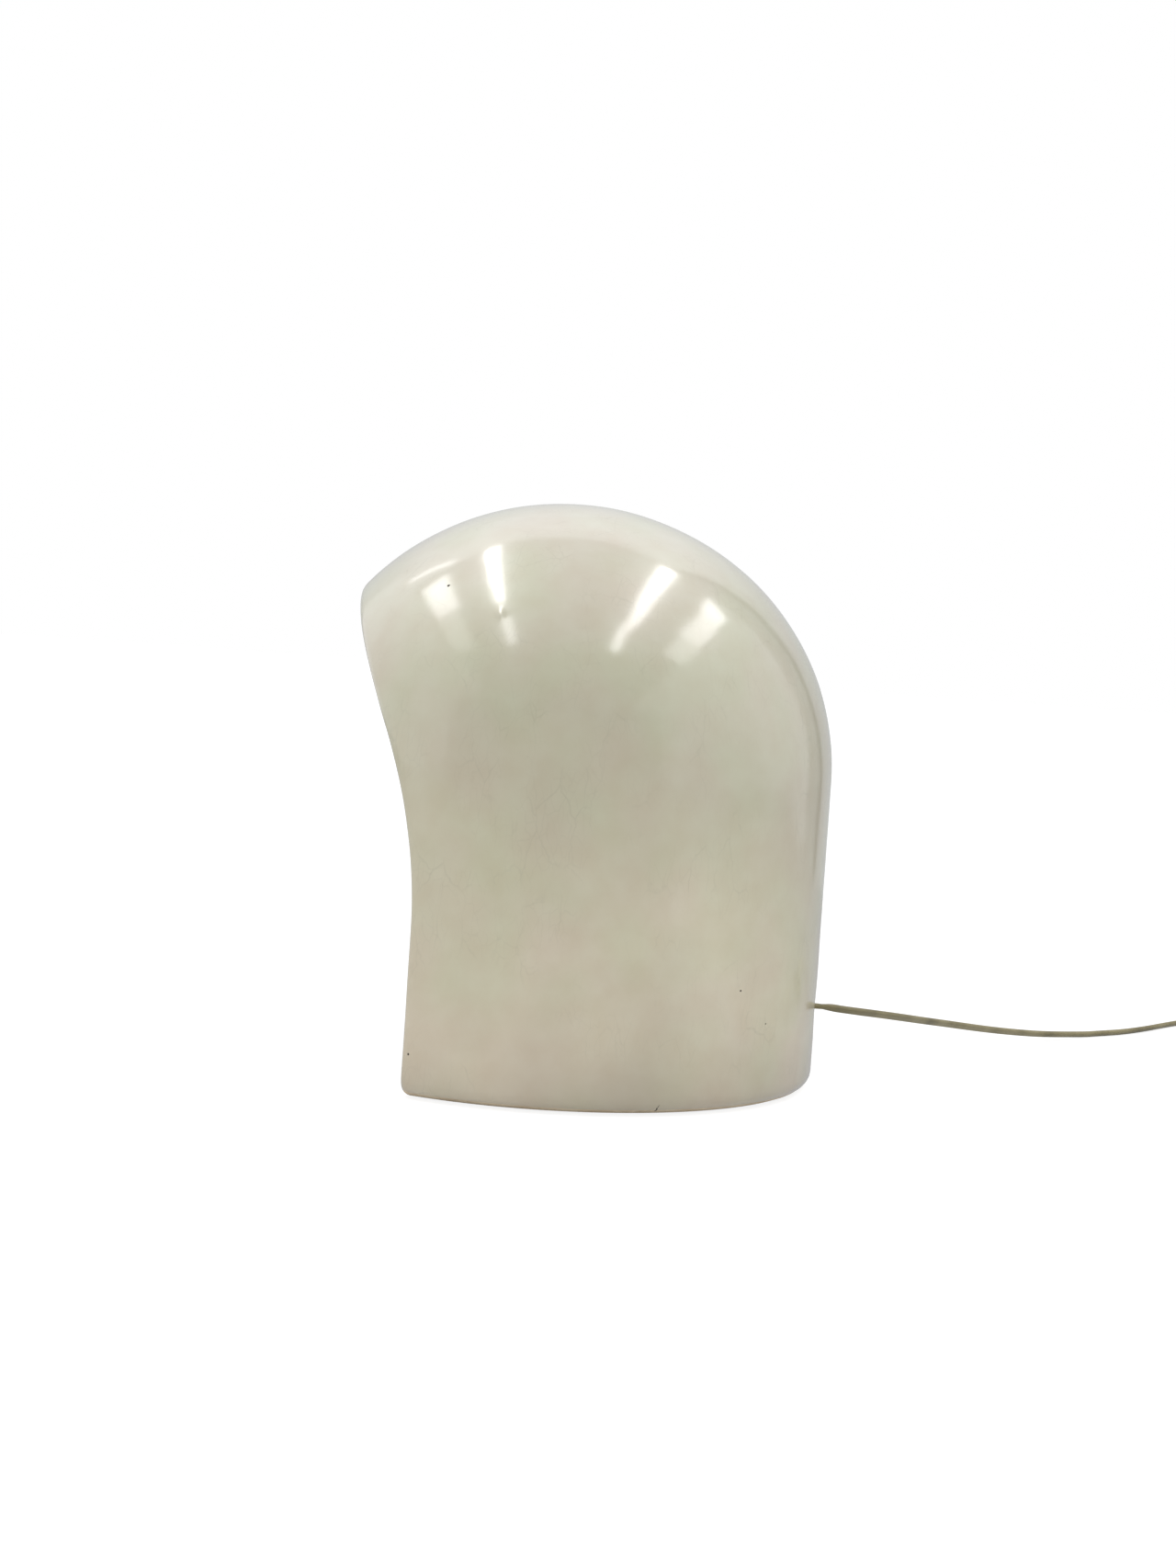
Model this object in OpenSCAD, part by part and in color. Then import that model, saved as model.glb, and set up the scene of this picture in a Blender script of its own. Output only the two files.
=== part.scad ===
// Hooded table lamp: a glazed ceramic hood, open at the front, over a bulb on a steel bridge.
// Millimetres, +Z up. The opening faces -Y and the flex leaves the back wall towards +Y.

/* [Hood] */
// Radius of the round wall outside
hood_r = 145; // [135:1:155]
// Height of the ceramic, from its foot to the top of the dome
hood_h = 302.4; // [285:0.1:320]
// How much lower the dome is than a half ball
dome_flat = 4.6; // [3:0.1:6]
// Distance from the axis to the centre of the arc that rounds the shoulder
shoulder_inset = 7; // [6.5:0.1:9]
// Thickness of the ceramic wall
wall_t = 7; // [6:0.5:9]
// Thickness of the ceramic floor
floor_t = 8; // [7:0.5:10]
// Rounding of the foot outside
base_round = 8; // [5:0.5:10]
// Rounding between wall and floor inside
cove_round = 6; // [3:0.5:10]

/* [Front opening] */
// Distance of the straight lower rim in front of the wall's axis
rim_y = 60; // [52:1:68]
// Height up to which the rim is straight
rim_straight = 82; // [70:1:95]
// Radius of the long bend in the rim
rim_bend_r = 245; // [220:1:270]
// Forward lean of the upper rim, in degrees
rim_lean = 24; // [20:0.5:27]
// Rounding of the brow's tip, seen from the side
brow_round = 7; // [4:0.5:10]
// Rounding of the floor's front edge, seen from the side
sill_round = 6; // [3:0.5:8]

/* [Underside] */
// Thickness of the felt pads
pad_t = 1; // [1:0.5:3]
// Radius of the felt pads
pad_r = 7; // [5:0.5:9]
// Depth of the recess under the floor
recess_d = 3; // [2.8:0.1:4]
// Radius of the recess under the floor
recess_r = 105; // [95:1:112]
// Width of the sill between the recess and the front edge
sill_w = 25; // [20:1:30]

/* [Flex outlet] */
// Height of the outlet above the ceramic's foot
outlet_h = 42; // [36:1:60]
// Radius of the outlet
outlet_r = 4.5; // [4:0.25:7]
// Width of the flat flex
flex_w = 4.9; // [4:0.1:5.4]
// Thickness of the flat flex
flex_t = 3; // [2.4:0.1:3.2]

/* [Bridge] */
// Height of the bridge's top above the floor
bridge_h = 45; // [42:1:55]
// Distance between the bridge's risers, inside
bridge_span = 50; // [44:1:60]
// Width of the steel strip
strip_w = 18; // [16:1:24]
// Thickness of the steel strip
strip_t = 1.5; // [1:0.25:2.5]
// Length of each foot of the bridge
bridge_foot = 16; // [14:1:20]
// Radius of the bridge screws
screw_r = 2; // [1.5:0.25:2.5]

/* [Lampholder] */
// Radius of the hollow nipple outside
nipple_r = 5; // [4.5:0.25:6]
// Radius of the nipple's bore
nipple_bore_r = 3.5; // [3:0.1:3.8]
// Radius of the holder's skirt
skirt_r = 20.5; // [19.5:0.25:24]
// Height of the holder
holder_h = 53; // [50:0.5:58]
// Height of the holder's cap below the skirt
cap_h = 13; // [12:0.5:15]
// Radius of the porcelain insert
insert_r = 17.3; // [16.5:0.1:17.8]
// Thickness of the porcelain insert
insert_t = 10; // [8:0.5:11]

/* [Bulb] */
// Radius of the bulb's globe
globe_r = 30; // [26:0.5:34]
// Length of the bulb with its cap
bulb_l = 105; // [98:1:112]
// Radius of the bulb's neck
neck_r = 14.5; // [14:0.1:15]
// Radius of the bulb's screw cap
bulb_cap_r = 13.1; // [12.9:0.05:13.3]
// Height of the bulb's screw cap with its insulator
bulb_cap_h = 27; // [25:0.5:29]
// Wall of the bulb's glass
glass_t = 0.8; // [0.6:0.1:1.2]

/* [Switch on the flex] */
// Length of the switch
switch_l = 62; // [54:1:70]
// Width of the switch
switch_w = 24; // [22:0.5:28]
// Height of the switch
switch_h = 16; // [15:0.5:18]
// Wall of the switch's shells
switch_wall = 1.8; // [1.5:0.1:2.2]
// Height of the joint between the two shells
switch_split = 7; // [6.5:0.25:8]
// Length of the rocker
rocker_l = 17; // [15:0.5:20]
// Width of the rocker
rocker_w = 9; // [8:0.5:10]
// Tilt of the rocker at OFF, in degrees
rocker_tilt = 9; // [6:1:11]

/* [Plug] */
// Length of the plug's body
plug_l = 36; // [32:1:40]
// Width of the plug at its face
plug_w = 25; // [24:0.5:28]
// Thickness of the plug's body
plug_t = 13.6; // [12:0.2:15]
// Radius of the plug's pins
pin_r = 2; // [1.9:0.1:2.4]
// Length of the plug's pins
pin_l = 19; // [17:0.5:21]
// Distance between the pins
pin_pitch = 18.6; // [17:0.2:19]

/* [Coil] */
// Radius at the middle of the coil's turns
coil_r = 27; // [25:0.5:29]
// Turns side by side
coil_across = 3; // [2:1:3]
// Layers of turns
coil_layers = 3; // [2:1:3]
// Thickness of the tie
tie_t = 0.8; // [0.6:0.1:1.2]

/* [Hidden] */
$fn = 96;
fine = 180;

tiny = 0.01;
clear = 0.05;
soft_clear = 0.3;

// The dome is two arcs that meet without a corner: the shoulder's and the crown's.
dome_rise = hood_r - dome_flat;
shoulder_r = hood_r - shoulder_inset;
shoulder_z = hood_h - dome_rise;
crown_r = (pow(shoulder_inset, 2) + pow(dome_rise, 2) - pow(shoulder_r, 2))
    / (2*(dome_rise - shoulder_r));
crown_z = shoulder_z + dome_rise - crown_r;
crown_start = 90 - asin(shoulder_inset/(crown_r - shoulder_r));

// The rim, seen from the side: straight, a long bend, straight again, and the brow's rounding.
bend_end = [rim_y + rim_bend_r*(1 - cos(rim_lean)), rim_straight + rim_bend_r*sin(rim_lean)];
brow_over = 0.3;
brow_from = bend_end + brow_round*[-cos(rim_lean), sin(rim_lean)] - [shoulder_inset, shoulder_z];
brow_up = [sin(rim_lean), cos(rim_lean)];
brow_along = -brow_from*brow_up
    + sqrt(pow(brow_from*brow_up, 2) - brow_from*brow_from
        + pow(shoulder_r + brow_over - brow_round, 2));
brow_centre = brow_from + brow_along*brow_up + [shoulder_inset, shoulder_z];
brow_end_angle = atan2(brow_centre.y - shoulder_z, brow_centre.x - shoulder_inset);
brow_reach = brow_centre.x + brow_round;

// The origin is under the middle of the object's own box, so the wall's axis is a little in front.
axis_y = (brow_reach - hood_r)/2;
foot_z = pad_t;
floor_z = foot_z + floor_t;
back_y = axis_y + hood_r;
outlet_z = foot_z + outlet_h;

// Stack on the bridge, from below
bridge_top = floor_z + bridge_h;
foot_x = bridge_span/2 + strip_t + bridge_foot/2;
washer_t = 1;
head_h = 2.2;
head_r = 2*screw_r;
nut_h = 1.6*screw_r;
nut_af = 3.5*screw_r;
screw_bottom = foot_z + recess_d - washer_t;
locknut_h = 3;
grip_h = 12;
grip_r = 8;
grip_top = bridge_top - strip_t - locknut_h;
grip_bottom = grip_top - grip_h;
toothed_t = 0.8;
holder_z = bridge_top + toothed_t;
nipple_in_cap = 8;
nipple_bottom = grip_top - 5;
nipple_top = holder_z + nipple_in_cap;
lead_top = nipple_top - 2.5;
terminal_x = 8;
insert_z = holder_z + cap_h + 1;
insert_top = insert_z + insert_t;
cap_stub_r = skirt_r - 1.9;
shell_out_r = bulb_cap_r + 1.2;
shell_in_r = bulb_cap_r + 0.6;
contact_t = 0.6;
contact_rise = 3;
bulb_z = insert_top + contact_t + contact_rise;

// Bulb glass
throat_r = 45;
globe_z = bulb_z + bulb_l - globe_r;
throat_z = globe_z - sqrt(pow(globe_r + throat_r, 2) - pow(neck_r + throat_r, 2));
throat_end = atan2(globe_z - throat_z, -(neck_r + throat_r));
neck_in_cap_r = bulb_cap_r - 0.7;
filament_r = 13;
filament_z = globe_z - 3;
stem_top = bulb_z + bulb_cap_h + 22;

// Places of what lies on the flex, on the surface that the lamp stands on
switch_at = [-296, 449];
switch_turn = -4;
plug_at = [-128, 403];
plug_turn = -14;
plug_boot = 20;
coil_at = [-238, 412];
coil_foot = tie_t;
turn_w = flex_w + 0.1;
layer_h = flex_t + 0.2;
coil_w = coil_across*turn_w;
coil_h = coil_layers*layer_h;
tie_w = 6;
tie_angle = 250;
flex_entry_z = switch_split;
flex_entry = 4;

// Chosen by hand: out of the wall, down to the surface, and away to the switch
flex_near_route = [[0, back_y + 3, outlet_z], [-1, back_y + 8, outlet_z - 0.3],
    [-5, 142, 41.6], [-14, 153, 39.7], [-28, 162, 37.3], [-46, 173, 34.2], [-68, 184, 30.5],
    [-93, 196, 26.3], [-120, 210, 21.8], [-147, 226, 17.1], [-174, 243, 12.5],
    [-200, 261, 8.4], [-224, 280, 5.1], [-246, 300, 3], [-264, 320, 2],
    [-282, 340, 1.6], [-304, 358, 1.6], [-327, 374, 1.6], [-346, 388, 1.6],
    [-358.5, 401, 1.6], [-364, 415, 1.8], [-362, 430, 2.6], [-353.5, 442.5, 4.2],
    [-342.5, 449.8, 6]];
flex_tail_route = [[-216, 435, 8.8], [-205, 426.2, 8.6], [-194, 420.2, 7.6]];
lead_inside_route = [[0, back_y - 4, outlet_z], [0, 118, 42.4], [0, 108, 38.8], [0, 98, 32.5],
    [0, 88, 24.5], [0, 78, 17], [0, 67, 12.2], [0, 55, 10.9], [0, 42, 10.8], [0, 30, 10.8],
    [0, 18, 10.9], [0, 8, 12.1], [0, -1.5, 15.2], [0, -9, 20.6], [0, -14, 27.4]];

function arc(centre, r, from, to, steps) =
    [for (i = [0:steps]) let (a = from + (to - from)*i/steps) centre + r*[cos(a), sin(a)]];

// Outline of the round hood, smaller by inset all round, down to a floor at bottom
function hood_outline(inset, bottom, corner) = concat(
    [[0, bottom]],
    arc([hood_r - inset - corner, bottom + corner], corner, -90, 0, 6),
    arc([shoulder_inset, shoulder_z], shoulder_r - inset, 0, crown_start, 16),
    [for (i = [1:11]) let (a = crown_start + (90 - crown_start)*i/12)
        [0, crown_z] + (crown_r - inset)*[cos(a), sin(a)]],
    [[0, crown_z + crown_r - inset]]);

// What is left of the hood seen from the side, as [distance forward, height]
function side_outline() = concat(
    arc([rim_y - sill_round, sill_round], sill_round, -90, 0, 6),
    arc([rim_y + rim_bend_r, rim_straight], rim_bend_r, 180, 180 - rim_lean, 14),
    arc(brow_centre, brow_round, -rim_lean, brow_end_angle, 8),
    [brow_centre + (brow_round + 40)*[cos(brow_end_angle), sin(brow_end_angle)],
     [hood_r, hood_h + 20], [-hood_r - 20, hood_h + 20], [-hood_r - 20, 0]]);

function globe_outline(inset, bottom, bottom_r) = concat(
    [[bottom_r - inset, bottom], [bottom_r - inset, bulb_z + bulb_cap_h + inset],
     [neck_r - inset, bulb_z + bulb_cap_h + inset]],
    arc([neck_r + throat_r, throat_z], throat_r + inset, 180, throat_end, 8),
    [for (i = [1:19]) let (a = throat_end - 180 + (270 - throat_end)*i/20)
        [0, globe_z] + (globe_r - inset)*[cos(a), sin(a)]],
    [[0, globe_z + globe_r - inset], [0, bottom]]);

function unit(v) = v/norm(v);

// Rings of a flat flex along a route: its broad side stays level
function flex_ring(at, ahead) =
    let (side = unit(cross(ahead, abs(ahead.z) > 0.9 ? [0, 1, 0] : [0, 0, 1])),
         over = cross(side, ahead))
    [for (a = [22.5:45:359])
        at + side*flex_w/2*cos(a)/cos(22.5) + over*flex_t/2*sin(a)/cos(22.5)];

function ahead_at(route, i) =
    unit(unit(route[min(i + 1, len(route) - 1)] - route[i == len(route) - 1 ? i - 1 : i])
        + unit(route[i == 0 ? 1 : i] - route[max(i - 1, 0)]));

// A smooth curve through the route's points, with extra points between them
function smooth(route, parts) = concat(
    [for (i = [0:len(route) - 2], k = [0:parts - 1])
        let (a = route[max(i - 1, 0)], b = route[i], c = route[i + 1],
             d = route[min(i + 2, len(route) - 1)], t = k/parts)
        0.5*(2*b + (c - a)*t + (2*a - 5*b + 4*c - d)*t*t + (3*b - a - 3*c + d)*t*t*t)],
    [route[len(route) - 1]]);

module flex_tube(route) {
    rings = [for (i = [0:len(route) - 1]) flex_ring(route[i], ahead_at(route, i))];
    last = len(route) - 1;
    polyhedron(
        points = [for (ring = rings) each ring],
        faces = concat(
            [[for (k = [0:7]) k]],
            [for (i = [0:last - 1], k = [0:7])
                let (a = i*8 + k, b = i*8 + (k + 1)%8) [a, a + 8, b + 8, b]],
            [[for (k = [7:-1:0]) last*8 + k]]));
}

module round_wire(from, to, r) {
    along = to - from;
    translate(from)
        rotate([0, acos(along.z/norm(along)), atan2(along.y, along.x)])
            cylinder(r = r, h = norm(along));
}

module tube(outer, inner, h) {
    difference() {
        cylinder(r = outer, h = h);
        translate([0, 0, -1]) cylinder(r = inner, h = h + 2);
    }
}

module hexagon(across, h) {
    cylinder(r = across/sqrt(3), h = h, $fn = 6);
}

module at_bridge_feet() {
    for (side = [-1, 1]) translate([side*foot_x, axis_y, 0]) children();
}

// ---- Ceramic hood ----

module hood_body() {
    intersection() {
        rotate_extrude($fn = fine) polygon(hood_outline(0, 0, base_round));
        rotate([90, 0, -90]) translate([0, 0, -hood_r - 20])
            linear_extrude(2*hood_r + 40) polygon(side_outline());
    }
}

module underside_recess() {
    intersection() {
        translate([0, 0, -1]) cylinder(r = recess_r, h = recess_d + 1);
        translate([-hood_r, sill_w - rim_y, -2]) cube([2*hood_r, 2*hood_r, recess_d + 3]);
    }
}

module hood() {
    color("#c9c4b2")
        difference() {
            translate([0, axis_y, foot_z])
                difference() {
                    hood_body();
                    rotate_extrude($fn = fine) polygon(hood_outline(wall_t, floor_t, cove_round));
                    underside_recess();
                }
            translate([0, back_y - 2*wall_t, outlet_z])
                rotate([-90, 0, 0]) cylinder(r = outlet_r, h = 3*wall_t, $fn = 48);
            at_bridge_feet() cylinder(r = screw_r + 0.25, h = floor_z + 1, $fn = 48);
        }
}

module felt_pads() {
    color("#6b6a62")
        translate([0, axis_y, 0]) {
            for (side = [-1, 1]) {
                translate([side*0.66*hood_r, -rim_y + sill_w/2, 0]) cylinder(r = pad_r, h = pad_t);
                rotate(90 - side*40) translate([(recess_r + hood_r - base_round)/2, 0, 0])
                    cylinder(r = pad_r, h = pad_t);
            }
        }
}

// ---- Bridge and what fastens it ----

module bridge() {
    x0 = bridge_span/2;
    x1 = x0 + strip_t;
    x2 = x1 + bridge_foot;
    color("silver")
        translate([0, axis_y, 0])
            difference() {
                translate([0, strip_w/2, 0]) rotate([90, 0, 0])
                    linear_extrude(strip_w)
                        polygon([[-x2, floor_z], [-x0, floor_z], [-x0, bridge_top - strip_t],
                            [x0, bridge_top - strip_t], [x0, floor_z], [x2, floor_z],
                            [x2, floor_z + strip_t], [x1, floor_z + strip_t], [x1, bridge_top],
                            [-x1, bridge_top], [-x1, floor_z + strip_t],
                            [-x2, floor_z + strip_t]]);
                for (side = [-1, 1])
                    translate([side*foot_x, 0, floor_z - 1])
                        cylinder(r = screw_r + 0.2, h = strip_t + 2, $fn = 48);
                translate([0, 0, bridge_top - strip_t - 1])
                    cylinder(r = nipple_r + 0.2, h = strip_t + 2, $fn = 48);
            }
}

module bridge_screws() {
    color("silver")
        at_bridge_feet()
            difference() {
                union() {
                    translate([0, 0, screw_bottom])
                        cylinder(r = screw_r, h = floor_z + strip_t + nut_h + 1 - screw_bottom);
                    translate([0, 0, screw_bottom - head_h]) cylinder(r = head_r, h = head_h);
                }
                translate([-head_r - 1, -0.5, screw_bottom - head_h - 1])
                    cube([2*head_r + 2, 1, 2]);
            }
}

module fibre_washers() {
    color("#8c4a32")
        at_bridge_feet()
            translate([0, 0, screw_bottom]) tube(1.5*head_r, screw_r + 0.2, washer_t);
}

module bridge_nuts() {
    color("silver")
        at_bridge_feet()
            translate([0, 0, floor_z + strip_t])
                difference() {
                    hexagon(nut_af, nut_h);
                    translate([0, 0, -1]) cylinder(r = screw_r + clear, h = nut_h + 2);
                }
}

module nipple() {
    color("#b99a55")
        translate([0, axis_y, nipple_bottom])
            tube(nipple_r, nipple_bore_r, nipple_top - nipple_bottom);
}

module nipple_locknut() {
    color("#b99a55")
        translate([0, axis_y, grip_top])
            difference() {
                hexagon(2*nipple_r + 4, locknut_h);
                translate([0, 0, -1]) cylinder(r = nipple_r + clear, h = locknut_h + 2);
            }
}

module toothed_washer() {
    teeth = 12;
    color("silver")
        translate([0, axis_y, bridge_top])
            difference() {
                cylinder(r = nipple_r + 3.5, h = toothed_t);
                translate([0, 0, -1]) cylinder(r = nipple_r + clear, h = toothed_t + 2);
                for (i = [0:teeth - 1])
                    rotate(360*i/teeth) translate([nipple_r + 3.6, 0, -1])
                        cylinder(r = 0.8, h = toothed_t + 2, $fn = 24);
            }
}

module cord_grip() {
    color("#e4dfd0")
        translate([0, axis_y, grip_bottom])
            difference() {
                cylinder(r = grip_r, h = grip_h);
                translate([0, 0, -1]) cylinder(r = nipple_bore_r, h = grip_h + 2);
                translate([0, 0, nipple_bottom - grip_bottom])
                    cylinder(r = nipple_r + clear, h = grip_h);
                translate([0, 0, 3.5]) rotate([0, 90, 0])
                    cylinder(r = 1.5 + clear, h = grip_r + 1, $fn = 48);
            }
}

module cord_grip_screw() {
    length = grip_r - flex_w/2 - soft_clear;
    color("#e4dfd0")
        translate([grip_r - length, axis_y, grip_bottom + 3.5])
            rotate([0, 90, 0])
                difference() {
                    cylinder(r = 1.5, h = length, $fn = 48);
                    translate([-2, -0.3, length - 0.8]) cube([4, 0.6, 2]);
                }
}

// ---- Lampholder ----

module holder_cap() {
    neck = nipple_r + 3;
    low = 4;
    color("#2a2321")
        translate([0, axis_y, holder_z])
            difference() {
                rotate_extrude($fn = fine)
                    polygon(concat(
                        [[0, 0], [neck, 0], [neck, low - 1]],
                        arc([skirt_r - cap_h + low + 1, cap_h], cap_h - low - 1, -90, 0, 8),
                        [[skirt_r - 1, cap_h], [cap_stub_r, cap_h], [cap_stub_r, cap_h + 7],
                         [0, cap_h + 7]]));
                translate([0, 0, -1]) cylinder(r = nipple_r + clear, h = cap_h);
                translate([0, 0, nipple_in_cap]) cylinder(r = insert_r - 3.5, h = cap_h);
                translate([0, 0, cap_h + 1]) cylinder(r = insert_r + clear, h = cap_h);
            }
}

module holder_skirt() {
    ribs = 36;
    color("#2a2321")
        translate([0, axis_y, holder_z])
            difference() {
                rotate_extrude($fn = fine)
                    polygon([[cap_stub_r + clear, cap_h], [skirt_r, cap_h], [skirt_r, cap_h + 12],
                        [skirt_r - 1.2, cap_h + 14], [skirt_r - 1.8, holder_h - 2],
                        [skirt_r - 2.8, holder_h], [shell_out_r + 0.6, holder_h],
                        [shell_out_r + 0.6, cap_h + 1 + insert_t],
                        [cap_stub_r + clear, cap_h + 1 + insert_t]]);
                for (i = [0:ribs - 1])
                    rotate(360*i/ribs) translate([skirt_r + 0.3, 0, cap_h + 1.5])
                        cylinder(r = 0.8, h = 9, $fn = 16);
            }
}

module porcelain_insert() {
    color("#efece2")
        translate([0, axis_y, insert_z])
            difference() {
                cylinder(r = insert_r, h = insert_t);
                for (side = [-1, 1])
                    translate([side*terminal_x, 0, -1]) cylinder(r = 1.6, h = insert_t + 2, $fn = 48);
            }
}

module screw_shell() {
    color("#c2a35a")
        translate([0, axis_y, insert_top])
            tube(shell_out_r, shell_in_r, 22);
}

module centre_contact() {
    color("#c2a35a")
        translate([0, axis_y + 3, insert_top]) rotate([90, 0, 0])
            linear_extrude(6)
                polygon([[-6, 0], [0, 0], [0, contact_t], [-3, contact_t],
                    [1, contact_rise], [4, contact_rise], [4, contact_rise + contact_t],
                    [0.6, contact_rise + contact_t], [-4, contact_t], [-6, contact_t]]);
}

module terminals() {
    color("#c2a35a")
        for (side = [-1, 1])
            translate([side*terminal_x, axis_y, insert_z])
                difference() {
                    union() {
                        translate([-2.5, -3, -4.5]) cube([5, 6, 4.5]);
                        cylinder(r = 1.5, h = insert_t, $fn = 48);
                    }
                    translate([0, -4, -2.2]) rotate([-90, 0, 0])
                        cylinder(r = 1.25, h = 4.5, $fn = 24);
                }
}

module terminal_screws() {
    color("silver")
        for (side = [-1, 1])
            translate([side*terminal_x, axis_y - 3.6, insert_z - 2.2])
                rotate([-90, 0, 0])
                    difference() {
                        union() {
                            cylinder(r = 2.1, h = 0.6, $fn = 24);
                            cylinder(r = 1.2, h = 2.4, $fn = 24);
                        }
                        translate([-3, -0.25, -1]) cube([6, 0.5, 1.3]);
                    }
}

// A core stands on the flex's end in the nipple and bends out to its terminal
module flex_core(side, colour) {
    r = 0.9;
    foot = [side*1.3, axis_y, lead_top];
    bend = [side*1.3, axis_y, nipple_top + 1.2];
    end = [side*(terminal_x - 2.5 - r), axis_y, insert_z - 2.2];
    color(colour) {
        round_wire(foot, bend, r);
        translate(bend) sphere(r = r + tiny);
        round_wire(bend, end, r);
    }
}

module live_core() { flex_core(-1, "#7a4a2c"); }
module neutral_core() { flex_core(1, "#5b7fa8"); }

module lead_inside() {
    color("#b3aa8c")
        flex_tube(concat([[0, back_y, outlet_z]], smooth(lead_inside_route, 2),
            [[0, axis_y, grip_bottom], [0, axis_y, grip_bottom + 6], [0, axis_y, lead_top]]));
}

// ---- Bulb ----

module bulb_glass() {
    color("#f1efe8")
        translate([0, axis_y, 0])
            difference() {
                rotate_extrude($fn = fine)
                    polygon(concat(globe_outline(0, bulb_z + bulb_cap_h - 5, neck_in_cap_r),
                        [[0, bulb_z + bulb_cap_h - 5]]));
                rotate_extrude($fn = fine)
                    polygon(concat(globe_outline(glass_t, bulb_z + bulb_cap_h - 6, neck_in_cap_r),
                        [[0, bulb_z + bulb_cap_h - 6]]));
            }
}

module bulb_cap() {
    color("#c9c2a8")
        translate([0, axis_y, bulb_z + 5]) tube(bulb_cap_r, neck_in_cap_r + clear, bulb_cap_h - 5);
}

module bulb_insulator() {
    color("#1d1b1a")
        translate([0, axis_y, bulb_z])
            rotate_extrude()
                polygon([[0, 1.5], [5.5, 1.5], [bulb_cap_r - 1.6, 5], [neck_in_cap_r, 5],
                    [neck_in_cap_r, 8], [0, 8]]);
}

module bulb_tip() {
    color("#a9a7a0")
        translate([0, axis_y, bulb_z]) cylinder(r1 = 3.6, r2 = 4.8, h = 1.5, $fn = 48);
}

module bulb_stem() {
    base = bulb_z + bulb_cap_h - 5;
    flare_r = neck_in_cap_r - glass_t - 0.1;
    color("#dfe6e4")
        translate([0, axis_y, 0])
            rotate_extrude()
                polygon(concat([[0, base], [flare_r, base], [flare_r, base + 1]],
                    arc([flare_r, base + flare_r - 3], flare_r - 4, 270, 180, 6),
                    [[4, stem_top - 3], [2.5, stem_top], [0, stem_top]]));
}

module bulb_supports() {
    color("#8f8d88")
        for (a = [0, 110, 250])
            round_wire([1.2*cos(a), axis_y + 1.2*sin(a), stem_top + 0.3],
                [filament_r*cos(a), axis_y + filament_r*sin(a), filament_z - 0.8], 0.35);
}

module bulb_filament() {
    color("#6d6a66")
        translate([0, axis_y, filament_z])
            rotate_extrude(angle = 250) translate([filament_r, 0]) circle(0.5, $fn = 16);
}

// ---- Flex outside, with its switch and plug ----

module in_switch() {
    translate([switch_at.x, switch_at.y, 0]) rotate(switch_turn) children();
}

module in_plug() {
    translate([plug_at.x, plug_at.y, plug_t/2]) rotate(plug_turn) children();
}

function switch_point(along) =
    [switch_at.x + along*cos(switch_turn), switch_at.y + along*sin(switch_turn), flex_entry_z];

function plug_end(back) =
    [plug_at.x - back*cos(plug_turn), plug_at.y - back*sin(plug_turn), plug_t/2];

module flex_near() {
    color("#b3aa8c")
        flex_tube(concat([[0, back_y, outlet_z]],
            smooth(concat(flex_near_route, [switch_point(-switch_l/2 - 5)]), 3),
            [switch_point(flex_entry - switch_l/2)]));
}

// Outline of the switch from above: flat ends, sides that swell to the middle
module switch_outline(inset) {
    end = flex_w/2 + 2.6;
    half = switch_w/2 - inset;
    half_l = switch_l/2 - inset;
    polygon(concat(
        [for (a = [0:15:180])
            [half_l*cos(a)*(1 - 0.02*sin(a)), end - inset + (half + inset - end)*sin(a)]],
        [for (a = [180:15:360])
            [half_l*cos(a)*(1 + 0.02*sin(a)), inset - end + (half + inset - end)*sin(a)]]));
}

module switch_posts(r, z, h) {
    for (side = [-1, 1]) translate([side*(switch_l/2 - 13), 0, z]) cylinder(r = r, h = h, $fn = 32);
}

module flex_mouths() {
    for (side = [-1, 1])
        translate([side*switch_l/2, 0, flex_entry_z])
            cube([4*switch_wall, flex_w + 0.4, flex_t + 0.4], center = true);
}

module switch_base() {
    color("#e6e0cf")
        in_switch()
            difference() {
                union() {
                    difference() {
                        linear_extrude(switch_split) switch_outline(0);
                        translate([0, 0, switch_wall])
                            linear_extrude(switch_split) switch_outline(switch_wall);
                    }
                    switch_posts(3, tiny, switch_split - tiny);
                }
                switch_posts(1.6, -1, switch_split + 2);
                switch_posts(2.8, -1, 2.6);
                flex_mouths();
            }
}

module rocker_window() {
    translate([-rocker_l/2 - 0.8, -rocker_w/2 - 0.5, switch_split])
        cube([rocker_l + 1.6, rocker_w + 1, switch_h]);
}

rocker_axis_z = switch_h - 3.2;
stub_r = 1.3;
stub_l = 2.2;
boss_t = 2.6;

module switch_cover() {
    color("#e6e0cf")
        in_switch()
            difference() {
                union() {
                    difference() {
                        translate([0, 0, switch_split])
                            linear_extrude(switch_h - switch_split) switch_outline(0);
                        translate([0, 0, switch_split - 1])
                            linear_extrude(switch_h - switch_split - switch_wall + 1)
                                switch_outline(switch_wall);
                    }
                    switch_posts(3, switch_split, switch_h - switch_split - 1);
                    for (side = [-1, 1])
                        translate([-3, side*(rocker_w/2 + 0.5 + boss_t/2) - boss_t/2,
                                rocker_axis_z - 3])
                            cube([6, boss_t, switch_h - rocker_axis_z + 2]);
                }
                rocker_window();
                translate([0, rocker_w/2 + stub_l + 0.2, rocker_axis_z]) rotate([90, 0, 0])
                    cylinder(r = stub_r + clear, h = rocker_w + 2*stub_l + 0.4, $fn = 48);
                switch_posts(1.25, switch_split - 1, 6);
                flex_mouths();
            }
}

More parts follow.
